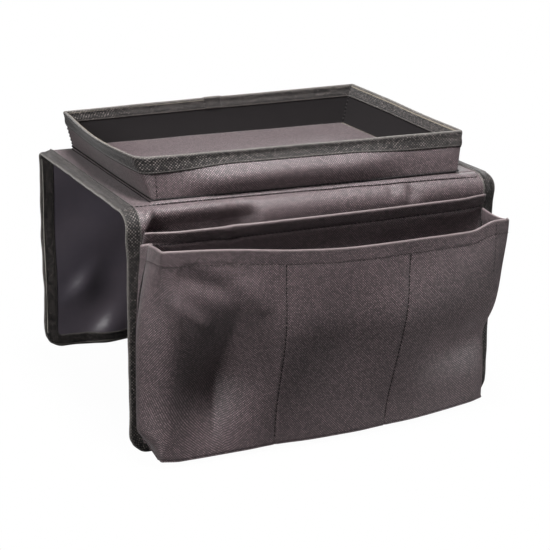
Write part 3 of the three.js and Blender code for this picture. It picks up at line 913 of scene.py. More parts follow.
# Tray. Stations go round it from the front left corner, one for each corner's arc and the side that follows.
TRAY_HEIGHT = TRAY_TOP - STACK
TRAY_HALF_RIM = 140.5 * MM
TRAY_END_FLARE = 9.0 * MM  # how far the rim stands out past the base at each end
TRAY_FRONT_LEAN = 7.0 * MM  # how far the front wall leans in at its rim
TRAY_BACK_FLARE = 0.5 * MM
TRAY_WALL = 4.6 * MM
TRAY_SKEW = 4.0 * MM  # how far the front wall is sewn out of square
TRAY_SKEW_UP = 0.6  # share of that which the rim doesn't have
TRAY_SIGNS = ((-1, -1), (1, -1), (1, 1), (-1, 1))
FRONT_SIDE = 0
LEFT_SIDE = 3
ARC_SHARE = 0.16  # share of a station that goes to the corner's arc
TRAY_CORNER = 2.4 * MM  # radius of the walls' outer face at three corners
LEAST_CORNER = 0.4 * MM
SOFT_CORNER = 14.0 * MM  # radius at the front left corner of the rim, which is pressed round
SOFT_CORNER_CURVE = 1.3  # how late up the wall it gets round
SOFT_CORNER_REACH = 4.0 * MM  # how far that corner is pushed out past the others
RIM_LIFT = (0.0, -1.0 * MM, 3.0 * MM, -1.0 * MM)  # how far the rim is pulled up at each corner
RIM_TAPE_OUTSIDE = 12.0 * MM  # how far the rim's tape hangs down outside the walls
RIM_TAPE_INSIDE = 9.0 * MM  # and inside them
RIM_TAPE_FLAT = RIM_TAPE_OUTSIDE + RIM_TAPE_INSIDE + TRAY_WALL
RIM_CORE = TRAY_WALL / 4  # depth in the wall towards which it is pressed under the tape
BASE_TUCK = 1.6 * MM  # how far the walls are drawn in at the seam round their base
BASE_TUCK_HEIGHT = 2.5 * MM
TRAY_RIPPLE = 0.7 * MM
TRAY_RIPPLE_SIZE = 45.0 * MM
WALL_BULGE = 0.8 * MM  # how far the right and back wall swell
LEFT_BOW = 6.7 * MM  # how far the left wall bows out at the rim
LEFT_BOW_CURVE = 1.35  # how far its fullest place lies towards the front

# Front wall of the tray, in shares of its length and height
FRONT_BULGE = 9.0 * MM
BULGE_FROM = 0.02
BULGE_GROWS = 0.22
BULGE_ENDS = 0.6
BULGE_FADES = 0.26
BULGE_LOST = 0.85  # how much of the bulge is gone at its right end
RIDGE = (0.4, 0.5)  # height of its fullest line at the left end and from the middle on
RIDGE_EVEN = 0.5
BULGE_TOP = 0.9
TAPE_DRAWN_UP = 0.3  # share of its width that the rim's tape loses where the wall is fullest


def front_fullness(share):
    """How much of its full swell the tray's front wall has at a share along it."""
    return rise(share, BULGE_FROM, BULGE_GROWS) * (1 - BULGE_LOST * rise(share, BULGE_ENDS, BULGE_FADES))


def side_share(station):
    """How far along its side a station is, past the corner's arc."""
    return max(station % 1 - ARC_SHARE, 0.0) / (1 - ARC_SHARE)


def tape_reach(station):
    """Share of its width that the rim's tape reaches down: less where the front wall swells under it."""
    if int(station) % 4 != FRONT_SIDE:
        return 1.0
    return 1 - TAPE_DRAWN_UP * front_fullness(side_share(station))


def tray_bulge(side, share, up):
    """How far a wall swells past its straight lines, at shares of its length and height."""
    if side == FRONT_SIDE:
        bulge = FRONT_BULGE * front_fullness(share)
        ridge = mix(*RIDGE, rise(share, 0.0, RIDGE_EVEN))
        if up < ridge:
            return bulge * math.sin(math.pi / 2 * up / ridge)
        return bulge * fall(up, ridge, BULGE_TOP - ridge)
    if side == LEFT_SIDE:
        return LEFT_BOW * math.sin(math.pi * share**LEFT_BOW_CURVE) * up
    return WALL_BULGE * math.sin(math.pi * share) ** 0.5 * math.sin(math.pi * up)


def tray_corner(number, up, out):
    """A corner of a wall's face at a share of the height and a way out: its arc's centre and radius."""
    sign_x, sign_y = TRAY_SIGNS[number]
    x = mix(TRAY_HALF_RIM - TRAY_END_FLARE, TRAY_HALF_RIM, up) + out
    rim_radius = TRAY_CORNER
    if number == 0:
        x += SOFT_CORNER_REACH * up**2
        rim_radius = SOFT_CORNER
    radius = max(mix(TRAY_CORNER, rim_radius, up**SOFT_CORNER_CURVE) + out, LEAST_CORNER)
    if sign_y > 0:
        y = TRAY_BACK - TRAY_BACK_FLARE * (1 - up) + out
    else:
        y = TRAY_FRONT + TRAY_FRONT_LEAN * up - out
    return Vector((sign_x * (x - radius), y - sign_y * radius)), radius


def pressed_rim(height, out):
    """Way out from the wall's outer face once the wall is pressed thin under the rim's tape."""
    layer = min(max(out, -TRAY_WALL), 0.0)
    thin = mix(1.0, EDGE_THIN, rise(height, TRAY_HEIGHT - EDGE_PRESS, EDGE_PRESS))
    return -RIM_CORE + (layer + RIM_CORE) * thin + out - layer


def tray_point(station, height, out):
    """A place on the tray's walls: a station round them, a height off the deck, and a way out."""
    number = int(station) % 4
    up = height / TRAY_HEIGHT
    out = pressed_rim(height, out) - BASE_TUCK * fall(height, 0.0, BASE_TUCK_HEIGHT)
    centre, radius = tray_corner(number, up, out)
    after, after_radius = tray_corner((number + 1) % 4, up, out)
    share = station - int(station)
    along = side_share(station)
    turn = math.pi * (1 + number / 2 + min(share / ARC_SHARE, 1.0) / 2)
    normal = Vector((math.cos(turn), math.sin(turn)))
    place = (centre + normal * radius).lerp(after + normal * after_radius, along)
    place += normal * tray_bulge(number, along, up)
    skew = TRAY_SKEW * (1 - TRAY_SKEW_UP * up) * place.x / TRAY_HALF_RIM
    place.y -= skew * smooth_step(0.5 - place.y / DECK_LENGTH)
    wobble = TRAY_RIPPLE * up * ripple(5, place.x, place.y, TRAY_RIPPLE_SIZE)
    place += normal * wobble
    lift = mix(RIM_LIFT[number], RIM_LIFT[(number + 1) % 4], along) * up
    return Vector((place.x, place.y, STACK + height + lift + wobble / 2))


def tray_inner_point(station, height, lift):
    return tray_point(station, height, -TRAY_WALL - lift)


TRAY_STATIONS = spaced(0.0, 4.0, 1 / 60)
TRAY_HEIGHTS = spaced(LAYER_GAP, TRAY_HEIGHT - CUT_INSET, 2.2 * MM)
TRAY_AROUND = running_length([tray_point(station, TRAY_HEIGHT / 2, 0.0) for station in TRAY_STATIONS])[-1]
RIM_SECTION = tape_section(RIM_TAPE_OUTSIDE, RIM_TAPE_INSIDE, TRAY_WALL)


def make_tray_walls():
    faces = (
        ("tray_outside", 0.0, (1, 1, 0), cloth, "cloth", "tray_outer_cloth"),
        ("tray_inside", -TRAY_WALL, (-1, -1, 0), inside, "lining", "tray_inner_cloth"),
    )
    boards = ["tray_wall_board_front", "tray_wall_board_back"]
    for name, out, outward, material, slot, node in faces:
        def place(station, height, out=out):
            return tray_point(station, height, out)

        grid = lay_cloth(TRAY_STATIONS, TRAY_HEIGHTS, place, outward, closed=True)
        wall = make_piece(name, grid, material, slot, CLOTH)
        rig.sheet(wall, flat=(TRAY_HEIGHT, TRAY_AROUND), held="stretched", rests_on=boards)
        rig.replaces(wall, node)
        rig.ride(wall, "saddle")


def make_rim_tape():
    def place(station, row):
        inward, depth = RIM_SECTION[row]
        return tray_point(station, TRAY_HEIGHT - inward * tape_reach(station), -depth)

    rows = range(len(RIM_SECTION))
    grid = lay_cloth(TRAY_STATIONS, rows, place, (0, 0, 1), closed=True, wear_highlight_rows=TAPE_WEAR_HIGHLIGHT)
    rim = make_tape("tray_rim_tape", grid)
    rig.sheet(rim, flat=(RIM_TAPE_FLAT, TRAY_AROUND), held="folded", rests_on=["tray_wall_board_front"])
    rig.replaces(rim, "tray_rim_binding")
    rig.ride(rim, "saddle")


WALL_BOARD_END = 0.999  # where in a station a wall's board ends, short of the next corner
WALL_BOARD_STEP = 1 / 40
WALL_BOARD_FACES = {"front": (0, -1, 0), "right": (1, 0, 0), "back": (0, 1, 0), "left": (-1, 0, 0)}


def make_wall_boards():
    def place(station, height):
        return tray_point(station, height, -CLOTH - LAYER_GAP)

    for number, (side, outward) in enumerate(WALL_BOARD_FACES.items()):
        along = spaced(number + ARC_SHARE, number + WALL_BOARD_END, WALL_BOARD_STEP)
        grid = lay_cloth(along, TRAY_HEIGHTS, place, outward)
        stiff = make_piece("tray_wall_board_" + side, grid, board, "board", WALL_BOARD)
        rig.replaces(stiff, "tray_board_" + side)
        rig.ride(stiff, "saddle")


FLOOR_STEP = 4.0 * MM
FLOOR_CROWN = 0.8 * MM
FLOOR_CROWN_REACH = 40.0 * MM  # from the floor's edge to where it has its full crown
FLOOR_RIPPLE = 0.4 * MM
FLOOR_RIPPLE_SIZE = 50.0 * MM
FLOOR_TURN = 1.6 * MM  # how far the floor's edge is turned down
FLOOR_TURN_WIDTH = 4.0 * MM


def make_tray_floor():
    low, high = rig.box("tray_floor_cloth")

    def place(x, y):
        edge = min(x - low.x, high.x - x, y - low.y, high.y - y)
        crown = FLOOR_CROWN * rise(edge, 0.0, FLOOR_CROWN_REACH)
        soft = FLOOR_RIPPLE * ripple(6, x, y, FLOOR_RIPPLE_SIZE)
        turned_down = FLOOR_TURN * fall(edge, 0.0, FLOOR_TURN_WIDTH)
        return Vector((x, y, TRAY_FLOOR + crown + soft - turned_down))

    grid = lay_cloth(spaced(low.x, high.x, FLOOR_STEP), spaced(low.y, high.y, FLOOR_STEP), place, (0, 0, 1))
    floor = make_cloth("tray_floor", grid)
    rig.sheet(floor, flat=(high.x - low.x, high.y - low.y), held="laid", rests_on=["tray_floor_board"])
    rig.replaces(floor, "tray_floor_cloth")
    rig.ride(floor, "saddle")


PIPING = 1.1 * MM  # radius of the turned edge round the tray's base
PIPING_STAND = 0.8  # in radii, how far out its middle lies
PIPING_FOOT = 0.2 * MM
PIPING_STEP = math.pi / 6
# How worn the piping's crown is, with a painted highlight there too
PIPING_WEAR_HIGHLIGHT = {2: 0.3, 3: 0.7, 4: 0.3}
PIPING_STRIP = 10.0 * MM  # width of the strip that is turned


def make_base_piping():
    def place(station, turn):
        height = PIPING_FOOT + PIPING * math.sin(turn)
        return tray_point(station, height, PIPING * (PIPING_STAND + math.cos(turn)))

    turns = spaced(0.0, math.pi, PIPING_STEP)
    grid = lay_cloth(TRAY_STATIONS, turns, place, (1, 1, 0), closed=True, wear_highlight_rows=PIPING_WEAR_HIGHLIGHT)
    piping = make_cloth("tray_base_piping", grid, PIPING_CLOTH)
    turned = math.pi * PIPING * TRAY_AROUND
    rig.sheet(piping, flat=(PIPING_STRIP, TRAY_AROUND), held="folded", rests_on=["saddle_cover"], area=turned)
    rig.ride(piping, "saddle")


RIM_LAP = 2.56  # where round the rim the ends of its tape lap
RIM_LAP_STATIONS = 0.05
RIM_LAP_LENGTH = 11.0 * MM
RIM_LAP_LIFT = 0.5 * MM  # how far the upper end lies off the lower one
RIM_LAP_REACH = 1.02  # how much further down it goes


def make_rim_lap():
    def place(station, row):
        inward, depth = RIM_SECTION[row]
        lift = RIM_LAP_LIFT if depth < TRAY_WALL / 2 else -RIM_LAP_LIFT
        return tray_point(station, TRAY_HEIGHT + RIM_LAP_LIFT - inward * RIM_LAP_REACH, lift - depth)

    along = spaced(RIM_LAP, RIM_LAP + RIM_LAP_STATIONS, RIM_LAP_STATIONS / 5)
    grid = lay_cloth(along, range(len(RIM_SECTION)), place, (0, 0, 1), wear_highlight_rows=TAPE_WEAR_HIGHLIGHT)
    lap = make_tape("tray_rim_lap", grid)
    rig.sheet(lap, flat=(RIM_TAPE_FLAT, RIM_LAP_LENGTH), held="folded", rests_on=["tray_rim_tape"])
    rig.ride(lap, "saddle")


TAPE_SHADOW_STITCH_DROP = 0.3 * MM  # how far below the rim's tape its outer row of stitches shows, a dark line that paints the shadow under the tape's edge
# Thick, overlapping stitches round the walls' base: a seam, and a dark band that paints the shade in the crevice there
BASE_SHADE_STITCH = (4.2 * MM, 1.6 * MM)
BASE_STITCH_UP = 2.5 * PIPING
BASE_STITCH_LIFT = 0.4 * MM
DECK_STITCH_OUT = 2.6 * PIPING  # how far out on the deck the tray's own row of stitches lies
CORNER_STITCH = (2.3 * MM, 1.0 * MM)
# Thick, overlapping stitches up the inner corners: a seam, and a dark band that paints the shade of the corner's fold
INNER_CORNER_SHADE_STITCH = (3.4 * MM, 1.6 * MM)
CORNER_STITCH_LIFT = 0.3 * MM
CORNER_STITCH_FOOT = 1.0 * MM
INNER_CORNER_TOP = 2.0 * MM  # how far below the rim the stitches of the inner corners end
CORNER_STITCH_PLACE = 1.02 * ARC_SHARE  # just past the corner's arc


def sew_tray():
    bm = bmesh.new()
    stations = spaced(0.0, 4.0, 1 / 120)

    def row(height):
        return [(station, height) for station in stations]

    tape_foot = TRAY_HEIGHT - TAPE_SHADOW_STITCH_DROP
    # Painted shadow under the rim tape's lower edge: overlapping dark stitches on the wall just below it
    tape_shadow_stitches = [(s, tape_foot - RIM_TAPE_OUTSIDE * tape_reach(s)) for s in stations]
    sew_on(bm, tray_point, tape_shadow_stitches, ON_CLOTH, LONG_STITCH)
    # Seam and painted shade at the walls' base
    sew_on(bm, tray_point, row(BASE_STITCH_UP), BASE_STITCH_LIFT, BASE_SHADE_STITCH)
    sew_on(bm, tray_point, row(PIPING_FOOT), DECK_STITCH_OUT, LONG_STITCH)
    sew_on(bm, tray_inner_point, row(TRAY_HEIGHT - RIM_TAPE_INSIDE + TAPE_STITCH_INSET), ON_TAPE)
    up_outside = spaced(CORNER_STITCH_FOOT, TRAY_HEIGHT - RIM_TAPE_OUTSIDE, SEWING_STEP)
    up_inside = spaced(TRAY_FLOOR - STACK, TRAY_HEIGHT - INNER_CORNER_TOP, SEWING_STEP)
    for number in range(4):
        seam = [(number + CORNER_STITCH_PLACE, height) for height in up_outside]
        sew_on(bm, tray_point, seam, CORNER_STITCH_LIFT, CORNER_STITCH)
        inner_seam = [(number + ARC_SHARE / 2, height) for height in up_inside]
        sew_on(bm, tray_inner_point, inner_seam, CORNER_STITCH_LIFT, INNER_CORNER_SHADE_STITCH)
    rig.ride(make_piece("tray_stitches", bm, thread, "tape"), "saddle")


def make_tray():
    make_tray_walls()
    make_rim_tape()
    make_wall_boards()
    make_tray_floor()
    make_base_piping()
    make_rim_lap()
    sew_tray()


# Turned seam across the saddle in front of the tray
WELT_WIDTH = 6.0 * MM
WELT_STRIP = 10.0 * MM
WELT_HEIGHTS = (2.3 * MM, 1.5 * MM)  # at the tray's left and right end
WELT_FLAT = 0.35 * MM  # height past the tray's ends
WELT_FADE = 6.0 * MM
WELT_BACK = 0.12  # share of its width that lies on the deck
WELT_LEAN = 0.7  # under 1, its crown lies towards the back
WELT_FRAY = 0.3 * MM
WELT_FRAY_SIZE = 6.0 * MM
WELT_STEP = 3.0 * MM
WELT_STITCH_ROW = 0.97  # share of its width at which its stitches lie
WELT_STITCH_LIFT = 0.2 * MM


def welt_point(x, share, lift):
    """A place on the seam: along X, a share of its width, and off its face."""
    tray_half = TRAY_HALF_RIM - TRAY_END_FLARE
    beside_tray = mix(*WELT_HEIGHTS, (x + tray_half) / (2 * tray_half))
    height = mix(beside_tray, WELT_FLAT, rise(abs(x), tray_half, WELT_FADE))
    profile = math.sin(math.pi * share**WELT_LEAN) ** 0.5
    fray = WELT_FRAY * ripple(7, x, share, WELT_FRAY_SIZE)
    along = TRAY_SKEW * x / TRAY_HALF_RIM + WELT_WIDTH * (share - WELT_BACK)
    return front.point(x, along, -height * profile - fray * share - lift)


def make_welt():
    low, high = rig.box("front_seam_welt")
    columns = spaced(low.x, high.x, WELT_STEP)

    def place(x, share):
        return welt_point(x, share, 0.0)

    grid = lay_cloth(columns, spaced(0.0, 1.0, 0.1), place, (0, -0.2, 1))
    welt = make_cloth("front_seam", grid, WELT_CLOTH)
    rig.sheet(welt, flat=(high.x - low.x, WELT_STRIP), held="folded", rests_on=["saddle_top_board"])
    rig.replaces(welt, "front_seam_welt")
    bm = bmesh.new()
    sew_on(bm, welt_point, [(x, WELT_STITCH_ROW) for x in columns], WELT_STITCH_LIFT, BOLD_STITCH)
    stitches = make_piece("front_seam_stitches", bm, thread, "cloth")
    for piece in (welt, stitches):
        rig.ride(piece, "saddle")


# Hems of the pockets' mouths
HEM = 10.0 * MM
HEM_FOLD = 1.1 * MM  # radius of the cloth's turn over a mouth
HEM_TURN = math.pi * HEM_FOLD
HEM_ROOM = 3.0 * MM  # how far below a hem the cloth is made as finely as in it
FACE_STEP = 2.6 * MM  # between rows of a pocket's face
HEM_STEP = 1.0 * MM  # and of its hem
HEM_BACK_STEP = 2.5 * MM  # and of the hem inside
# How worn the cloth is where it turns over a mouth, with a painted highlight there too
MOUTH_WEAR_HIGHLIGHT = 0.6


def hem_rows(height):
    """Distances up a pocket's cloth: its face, its hem, the turn over the mouth and the hem inside."""
    hem_from = height - HEM - HEM_ROOM
    face = spaced(0.0, hem_from, FACE_STEP)[:-1]
    hem = spaced(hem_from, height, HEM_STEP)[:-1]
    over = spaced(height, height + HEM_TURN, HEM_TURN / 6)[:-1]
    return face + hem + over + spaced(height + HEM_TURN, height + HEM_TURN + HEM, HEM_BACK_STEP)


def mouth_wear_highlight(rows, height):
    """How worn a pocket's cloth is at its rows, with a painted highlight there too: only where it turns over the
    mouth.
    """
    low, high = height - 0.2 * MM, height + 0.8 * HEM_TURN
    return {j: MOUTH_WEAR_HIGHLIGHT for j, up in enumerate(rows) if low < up < high}


def hem_place(up, height):
    """How high on the pocket a distance up its cloth lies, and how far behind its face."""
    if up <= height:
        return up, 0.0
    if up < height + HEM_TURN:
        angle = (up - height) / HEM_FOLD
        return height + HEM_FOLD * math.sin(angle), HEM_FOLD * (1 - math.cos(angle))
    return height - (up - height - HEM_TURN), 2 * HEM_FOLD


# Flat pocket
INNER_HEIGHT = INNER_MOUTH - POCKET_SEAM
INNER_SEWN_IN = 2.0 * MM  # how much of its width its side seams take
INNER_ROOT = 1.3 * MM  # how far its seam stands off the flap
INNER_BOW = 3.0 * MM
INNER_GAPE = 6.5 * MM  # how far its mouth stands out past the cloth below
INNER_GAPE_HEIGHT = 32.0 * MM
INNER_GAPE_ENDS = 0.3  # share of the gape at the pocket's ends
INNER_GAPE_ROOM = 26.0 * MM  # from an end to where it has its full gape
INNER_KINK = -81.0 * MM  # where along X its hem is pinched
INNER_KINK_WIDTH = 8.0 * MM
INNER_KINK_DIP = 1.8 * MM
INNER_LEFT_LIFT = 2.0 * MM  # how far its mouth is pulled up at the left
INNER_LEFT_FROM = 110.0 * MM
INNER_LEFT_OVER = 40.0 * MM
INNER_MOUTH_RIPPLE = 0.5 * MM
INNER_MOUTH_RIPPLE_SIZE = 30.0 * MM
INNER_HEM = (3.2 * MM, 2.2 * MM)  # how plump its hem is left and right of the kink
INNER_HEM_PINCH = 0.7  # share of that lost at the pinch
INNER_HEM_PINCH_OFF = 5.0 * MM
INNER_HEM_PINCH_WIDTH = 6.0 * MM
INNER_HEM_TOP = -5.2 * MM  # how far over the mouth the hem has lost its plumpness
INNER_HEM_EASE = 4.0 * MM
INNER_GROOVE = 1.3 * MM  # depth of the stitched line under the hem
INNER_GROOVE_WIDTH = 1.6 * MM
INNER_RIPPLE = 0.8 * MM
INNER_RIPPLE_SIZE = 40.0 * MM
INNER_PUCKER = 0.25 * MM
PUCKER_REACH = 5.0 * MM  # how far from a hem's stitches the cloth puckers


def inner_mouth(x):
    """Height of the flat pocket's mouth over its seam, at a place along X."""
    dip = INNER_KINK_DIP * hump(x - INNER_KINK, INNER_KINK_WIDTH)
    lift = INNER_LEFT_LIFT * rise(-x, INNER_LEFT_FROM, INNER_LEFT_OVER)
    return INNER_HEIGHT - dip + lift + INNER_MOUTH_RIPPLE * ripple(8, x, 0.0, INNER_MOUTH_RIPPLE_SIZE)


def inner_hem(x, below):
    """How far the flat pocket's hem stands out at a distance below its mouth."""
    plump = mix(*INNER_HEM, rise(x, INNER_KINK, INNER_KINK_WIDTH))
    plump *= 1 - INNER_HEM_PINCH * hump(x - INNER_KINK - INNER_HEM_PINCH_OFF, INNER_HEM_PINCH_WIDTH)
    return plump * fall(below, 0.0, HEM) * rise(below, INNER_HEM_TOP, INNER_HEM_EASE)


def inner_pocket_point(x, up, lift):
    """A place on the flat pocket: along X, up from its seam, and off its face."""
    mouth = inner_mouth(x)
    below = mouth - up
    across = max(1 - (x / HALF_POCKET) ** 2, 0.0)
    stand = INNER_ROOT + INNER_BOW * across * math.sin(math.pi / 2 * min(up / mouth, 1.0))
    gape = INNER_GAPE * mix(INNER_GAPE_ENDS, 1.0, rise(HALF_POCKET - abs(x), 0.0, INNER_GAPE_ROOM))
    stand += gape * fall(below, 0.0, INNER_GAPE_HEIGHT)
    groove = INNER_GROOVE * hump(below - HEM, INNER_GROOVE_WIDTH)
    soft = INNER_RIPPLE * ripple(9, x, up, INNER_RIPPLE_SIZE) * across
    pucker = INNER_PUCKER * ripple(10, x, up, PUCKER_REACH) * hump(below - HEM, PUCKER_REACH)
    out = stand + inner_hem(x, below) - groove + soft + pucker + lift
    z = POCKET_SEAM + up
    tuck = flap_tuck(x, front.turn + (STACK - front.radius) - z)
    return Vector((x, -FLAP_FACE - out + tuck, z))


def make_inner_pocket():
    def place(x, up):
        level, behind = hem_place(up, INNER_HEIGHT)
        return inner_pocket_point(x, level, -behind)

    columns, rows = spaced(-HALF_POCKET, HALF_POCKET, FACE_STEP), hem_rows(INNER_HEIGHT)
    grid = lay_cloth(columns, rows, place, (0, -1, 0), wear_highlight_rows=mouth_wear_highlight(rows, INNER_HEIGHT))
    pocket = make_cloth("flat_pocket", grid, POCKET_CLOTH)
    flat = (2 * HALF_POCKET + INNER_SEWN_IN, INNER_HEIGHT + HEM)
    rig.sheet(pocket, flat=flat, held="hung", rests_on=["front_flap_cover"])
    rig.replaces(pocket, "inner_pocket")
    bm = bmesh.new()
    sewn = spaced(-HALF_POCKET + INNER_SEWN_IN, HALF_POCKET - INNER_SEWN_IN, SEWING_STEP)
    sew_on(bm, inner_pocket_point, [(x, INNER_HEIGHT - HEM) for x in sewn], ON_CLOTH, BOLD_STITCH)
    stitches = make_piece("flat_pocket_stitches", bm, thread, "cloth")
    for piece in (pocket, stitches):
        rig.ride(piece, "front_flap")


# Boxed pocket. Its outline goes from the left root (0) round the left corner (1 to 2), along the front, round
# the right corner (3 to 4) and back to the right root (5). Heights up it are shares of its front.
MOUTH_LEVEL = -17.0 * MM  # of its mouth at the left
MOUTH_SLOPE = 12.0 * MM  # how far the mouth then falls
MOUTH_SLOPE_FROM = -149.0 * MM
MOUTH_SLOPE_OVER = 165.0 * MM
MOUTH_CORNER = 6.3 * MM  # how far it rises again at the right corner
MOUTH_CORNER_FROM = 112.0 * MM
MOUTH_CORNER_OVER = 26.0 * MM
MOUTH_STAND = 42.2 * MM
MOUTH_BOW = 9.8 * MM
FULL_AT = 0.7  # where up its middle the front stands out furthest
HEM_LEAN = 7.0 * MM  # how far the mouth leans back from there
HEM_LEAN_FROM = 0.55
HEM_LEAN_ENDS = 0.4  # share of the lean at the front's ends
FOOT_STAND_LEFT = 34.5 * MM
FOOT_STAND_RIGHT = 12.5 * MM
FOOT_SINK_FROM = 10.0 * MM
RIGHT_FOLD = 10.0 * MM  # how far the front is folded in at its lower right
RIGHT_FOLD_UP = 0.36
RIGHT_FOLD_HEIGHT = 0.13
RIGHT_FOLD_FROM = 45.0 * MM
RIGHT_FOLD_OVER = 100.0 * MM
POCKET_ROOT = 2.0 * MM  # stand of its roots, over the flat pocket's edge
CORNER_ROOM = 16.0 * MM  # how much of the front, from each end, belongs to the corners
FRONT_END = HALF_POCKET - CORNER_ROOM
CORNER_TURN = 1.6  # where round the outline a corner's turn ends and its straight run starts
LEFT, RIGHT = -1, 1
EDGE_POINT = 2.0 * MM  # radius of its upright edges at foot and mouth
EDGE_SOFT = {LEFT: 15.0 * MM, RIGHT: 6.0 * MM}  # and between them
EDGE_SOFT_FROM = 0.25
EDGE_PINCH_FROM = 0.72
EDGE_SHARE = 0.45  # most of the front's stand that such a radius takes
EDGE_PEAK = Vector((2.0 * MM, 1.5 * MM))  # how far the mouth's right corner is pulled out and forward
GUSSET_SWELL = {LEFT: 12.0 * MM, RIGHT: 2.0 * MM}
GUSSET_SWELL_FROM = 0.12
GUSSET_SWELL_TOP = 0.5
GUSSET_SWELL_FADE = 0.6  # under 1, it keeps its swell for longer above that
GUSSET_FULLEST = 0.8  # under 1, its fullest place lies towards the flap
STRIP_RISE = 3.4 * MM  # the sewn edge of the left gusset stands up beside the tape
STRIP_PLACE = 2.4 * MM
STRIP_WIDTH = 1.6 * MM
STRIP_GAP = 3.4 * MM  # and the gusset dips behind it
STRIP_GAP_PLACE = 7.0 * MM
STRIP_GAP_WIDTH = 2.0 * MM
DIVIDER_X = HALF_POCKET / 3
DIVIDER_FEET = (-4.0 * MM, -5.0 * MM)  # how far the left and right row of stitches is off that at its foot
DIVIDER_TOPS = (0.0, 9.0 * MM)  # and at the mouth


def pocket_mouth(x):
    """Level of the boxed pocket's mouth: it slopes down from the left and rises at the right corner."""
    slope = MOUTH_SLOPE * rise(x, MOUTH_SLOPE_FROM, MOUTH_SLOPE_OVER)
    return MOUTH_LEVEL - slope + MOUTH_CORNER * rise(x, MOUTH_CORNER_FROM, MOUTH_CORNER_OVER)


def front_stand(x, up):
    """How far the boxed pocket's front stands off the flap."""
    across = 1 - (x / HALF_POCKET) ** 2
    past = max((x - FOOT_SINK_FROM) / (HALF_POCKET - FOOT_SINK_FROM), 0.0)
    foot = mix(FOOT_STAND_LEFT, FOOT_STAND_RIGHT, 1 - math.cos(math.pi / 2 * past))
    stand = mix(foot, MOUTH_STAND + MOUTH_BOW * across, smooth_step(up / mix(1.0, FULL_AT, across)))
    fold = RIGHT_FOLD * hump(up - RIGHT_FOLD_UP, RIGHT_FOLD_HEIGHT)
    fold *= rise(x, RIGHT_FOLD_FROM, RIGHT_FOLD_OVER)
    lean = HEM_LEAN * rise(up, HEM_LEAN_FROM, 1 - HEM_LEAN_FROM) * mix(HEM_LEAN_ENDS, 1.0, across)
    return stand - fold - lean


def edge_pinch(up):
    """From 0 to 1 where the boxed pocket's upright edges are pinched, towards the mouth."""
    return rise(up, EDGE_PINCH_FROM, 1 - EDGE_PINCH_FROM)


def edge_radius(end, up):
    """Radius of the boxed pocket's upright edges: sharp at the foot, then soft, and pinched at the mouth."""
    softness = rise(up, 0.0, EDGE_SOFT_FROM) * (1 - edge_pinch(up))
    return min(mix(EDGE_POINT, EDGE_SOFT[end], softness), front_stand(end * HALF_POCKET, up) * EDGE_SHARE)


def front_at(x):
    """The place round the outline of a place along the front."""
    return 2 + (x + FRONT_END) / (2 * FRONT_END)


def front_slant(x, up):
    """How far the front's cloth is drawn along X, a share up it, so that the rows of stitches slant."""
    left, right = (mix(foot, top, up) for foot, top in zip(DIVIDER_FEET, DIVIDER_TOPS))
    if abs(x) < DIVIDER_X:
        return mix(left, right, (x + DIVIDER_X) / (2 * DIVIDER_X))
    return (left if x < 0 else right) * (FRONT_END - abs(x)) / (FRONT_END - DIVIDER_X)


def gusset_outline(end, up, share):
    """A gusset seen from above, at a share of its depth."""
    depth = front_stand(end * HALF_POCKET, up)
    swell = GUSSET_SWELL[end] * rise(up, 0.0, GUSSET_SWELL_FROM)
    swell *= fall(up, GUSSET_SWELL_TOP, 1 - GUSSET_SWELL_TOP) ** GUSSET_SWELL_FADE
    stand = mix(POCKET_ROOT, depth, share)
    out = swell * math.sin(math.pi * share**GUSSET_FULLEST)
    if end == LEFT:
        out += STRIP_RISE * hump(stand - POCKET_ROOT - STRIP_PLACE, STRIP_WIDTH)
        out -= STRIP_GAP * hump(stand - POCKET_ROOT - STRIP_GAP_PLACE, STRIP_GAP_WIDTH)
    return Vector((end * (HALF_POCKET + out), stand))


def pocket_outline(at, up):
    """The boxed pocket seen from above: x and stand at a place round its outline, a share up its front."""
    end = LEFT if at < 2.5 else RIGHT
    part = at if end == LEFT else 5 - at
    depth = front_stand(end * HALF_POCKET, up)
    radius = edge_radius(end, up)
    x_front = end * (HALF_POCKET - radius)
    if part < 1:
        return gusset_outline(end, up, part * (1 - radius / depth))
    if part < CORNER_TURN:
        share = (part - 1) / (CORNER_TURN - 1)
        turn_in = gusset_outline(end, up, 1 - radius / depth)
        turn_out = Vector((x_front, front_stand(x_front, up)))
        peak = Vector((end * HALF_POCKET, depth))
        if end == RIGHT:
            peak += EDGE_PEAK * edge_pinch(up)
        return turn_in.lerp(peak, share).lerp(peak.lerp(turn_out, share), share)
    if part < 2:
        x = mix(x_front, end * FRONT_END, (part - CORNER_TURN) / (2 - CORNER_TURN))
    else:
        x = mix(-FRONT_END, FRONT_END, at - 2)
        x += front_slant(x, up)
    return Vector((x, front_stand(x, up)))


# What the front's cloth does on top of that: places on it are along X and up
CREASE_TOP = Vector((-86 * MM, -60 * MM))
CREASE_FOOT = Vector((-99 * MM, -149 * MM))
CREASE_PAST = 0.3  # share of its length that the crease's line goes on past its ends
CREASE_LEFT = 1.15  # over 1, how steep the cloth gets on its way to the crease
CREASE_RIGHT = 1.25
CREASED = 10.0 * MM  # a hollow deeper than this falls to the crease
HOLLOW_EASE = 0.5  # how softly a hollow starts at its top
HOLLOW_ROUND = 1.5  # over 1, how flat a soft hollow is at its sides
# How each compartment's cloth falls in: its two sides, its depth, and the levels where it starts, is deepest
# and ends
HOLLOWS = (
    (-HALF_POCKET, -DIVIDER_X, 28.0 * MM, -50 * MM, -126 * MM, -188 * MM),
    (-DIVIDER_X, DIVIDER_X, 8.0 * MM, -40 * MM, -106 * MM, -186 * MM),
    (DIVIDER_X, HALF_POCKET, 2.0 * MM, -60 * MM, -110 * MM, -186 * MM),
)
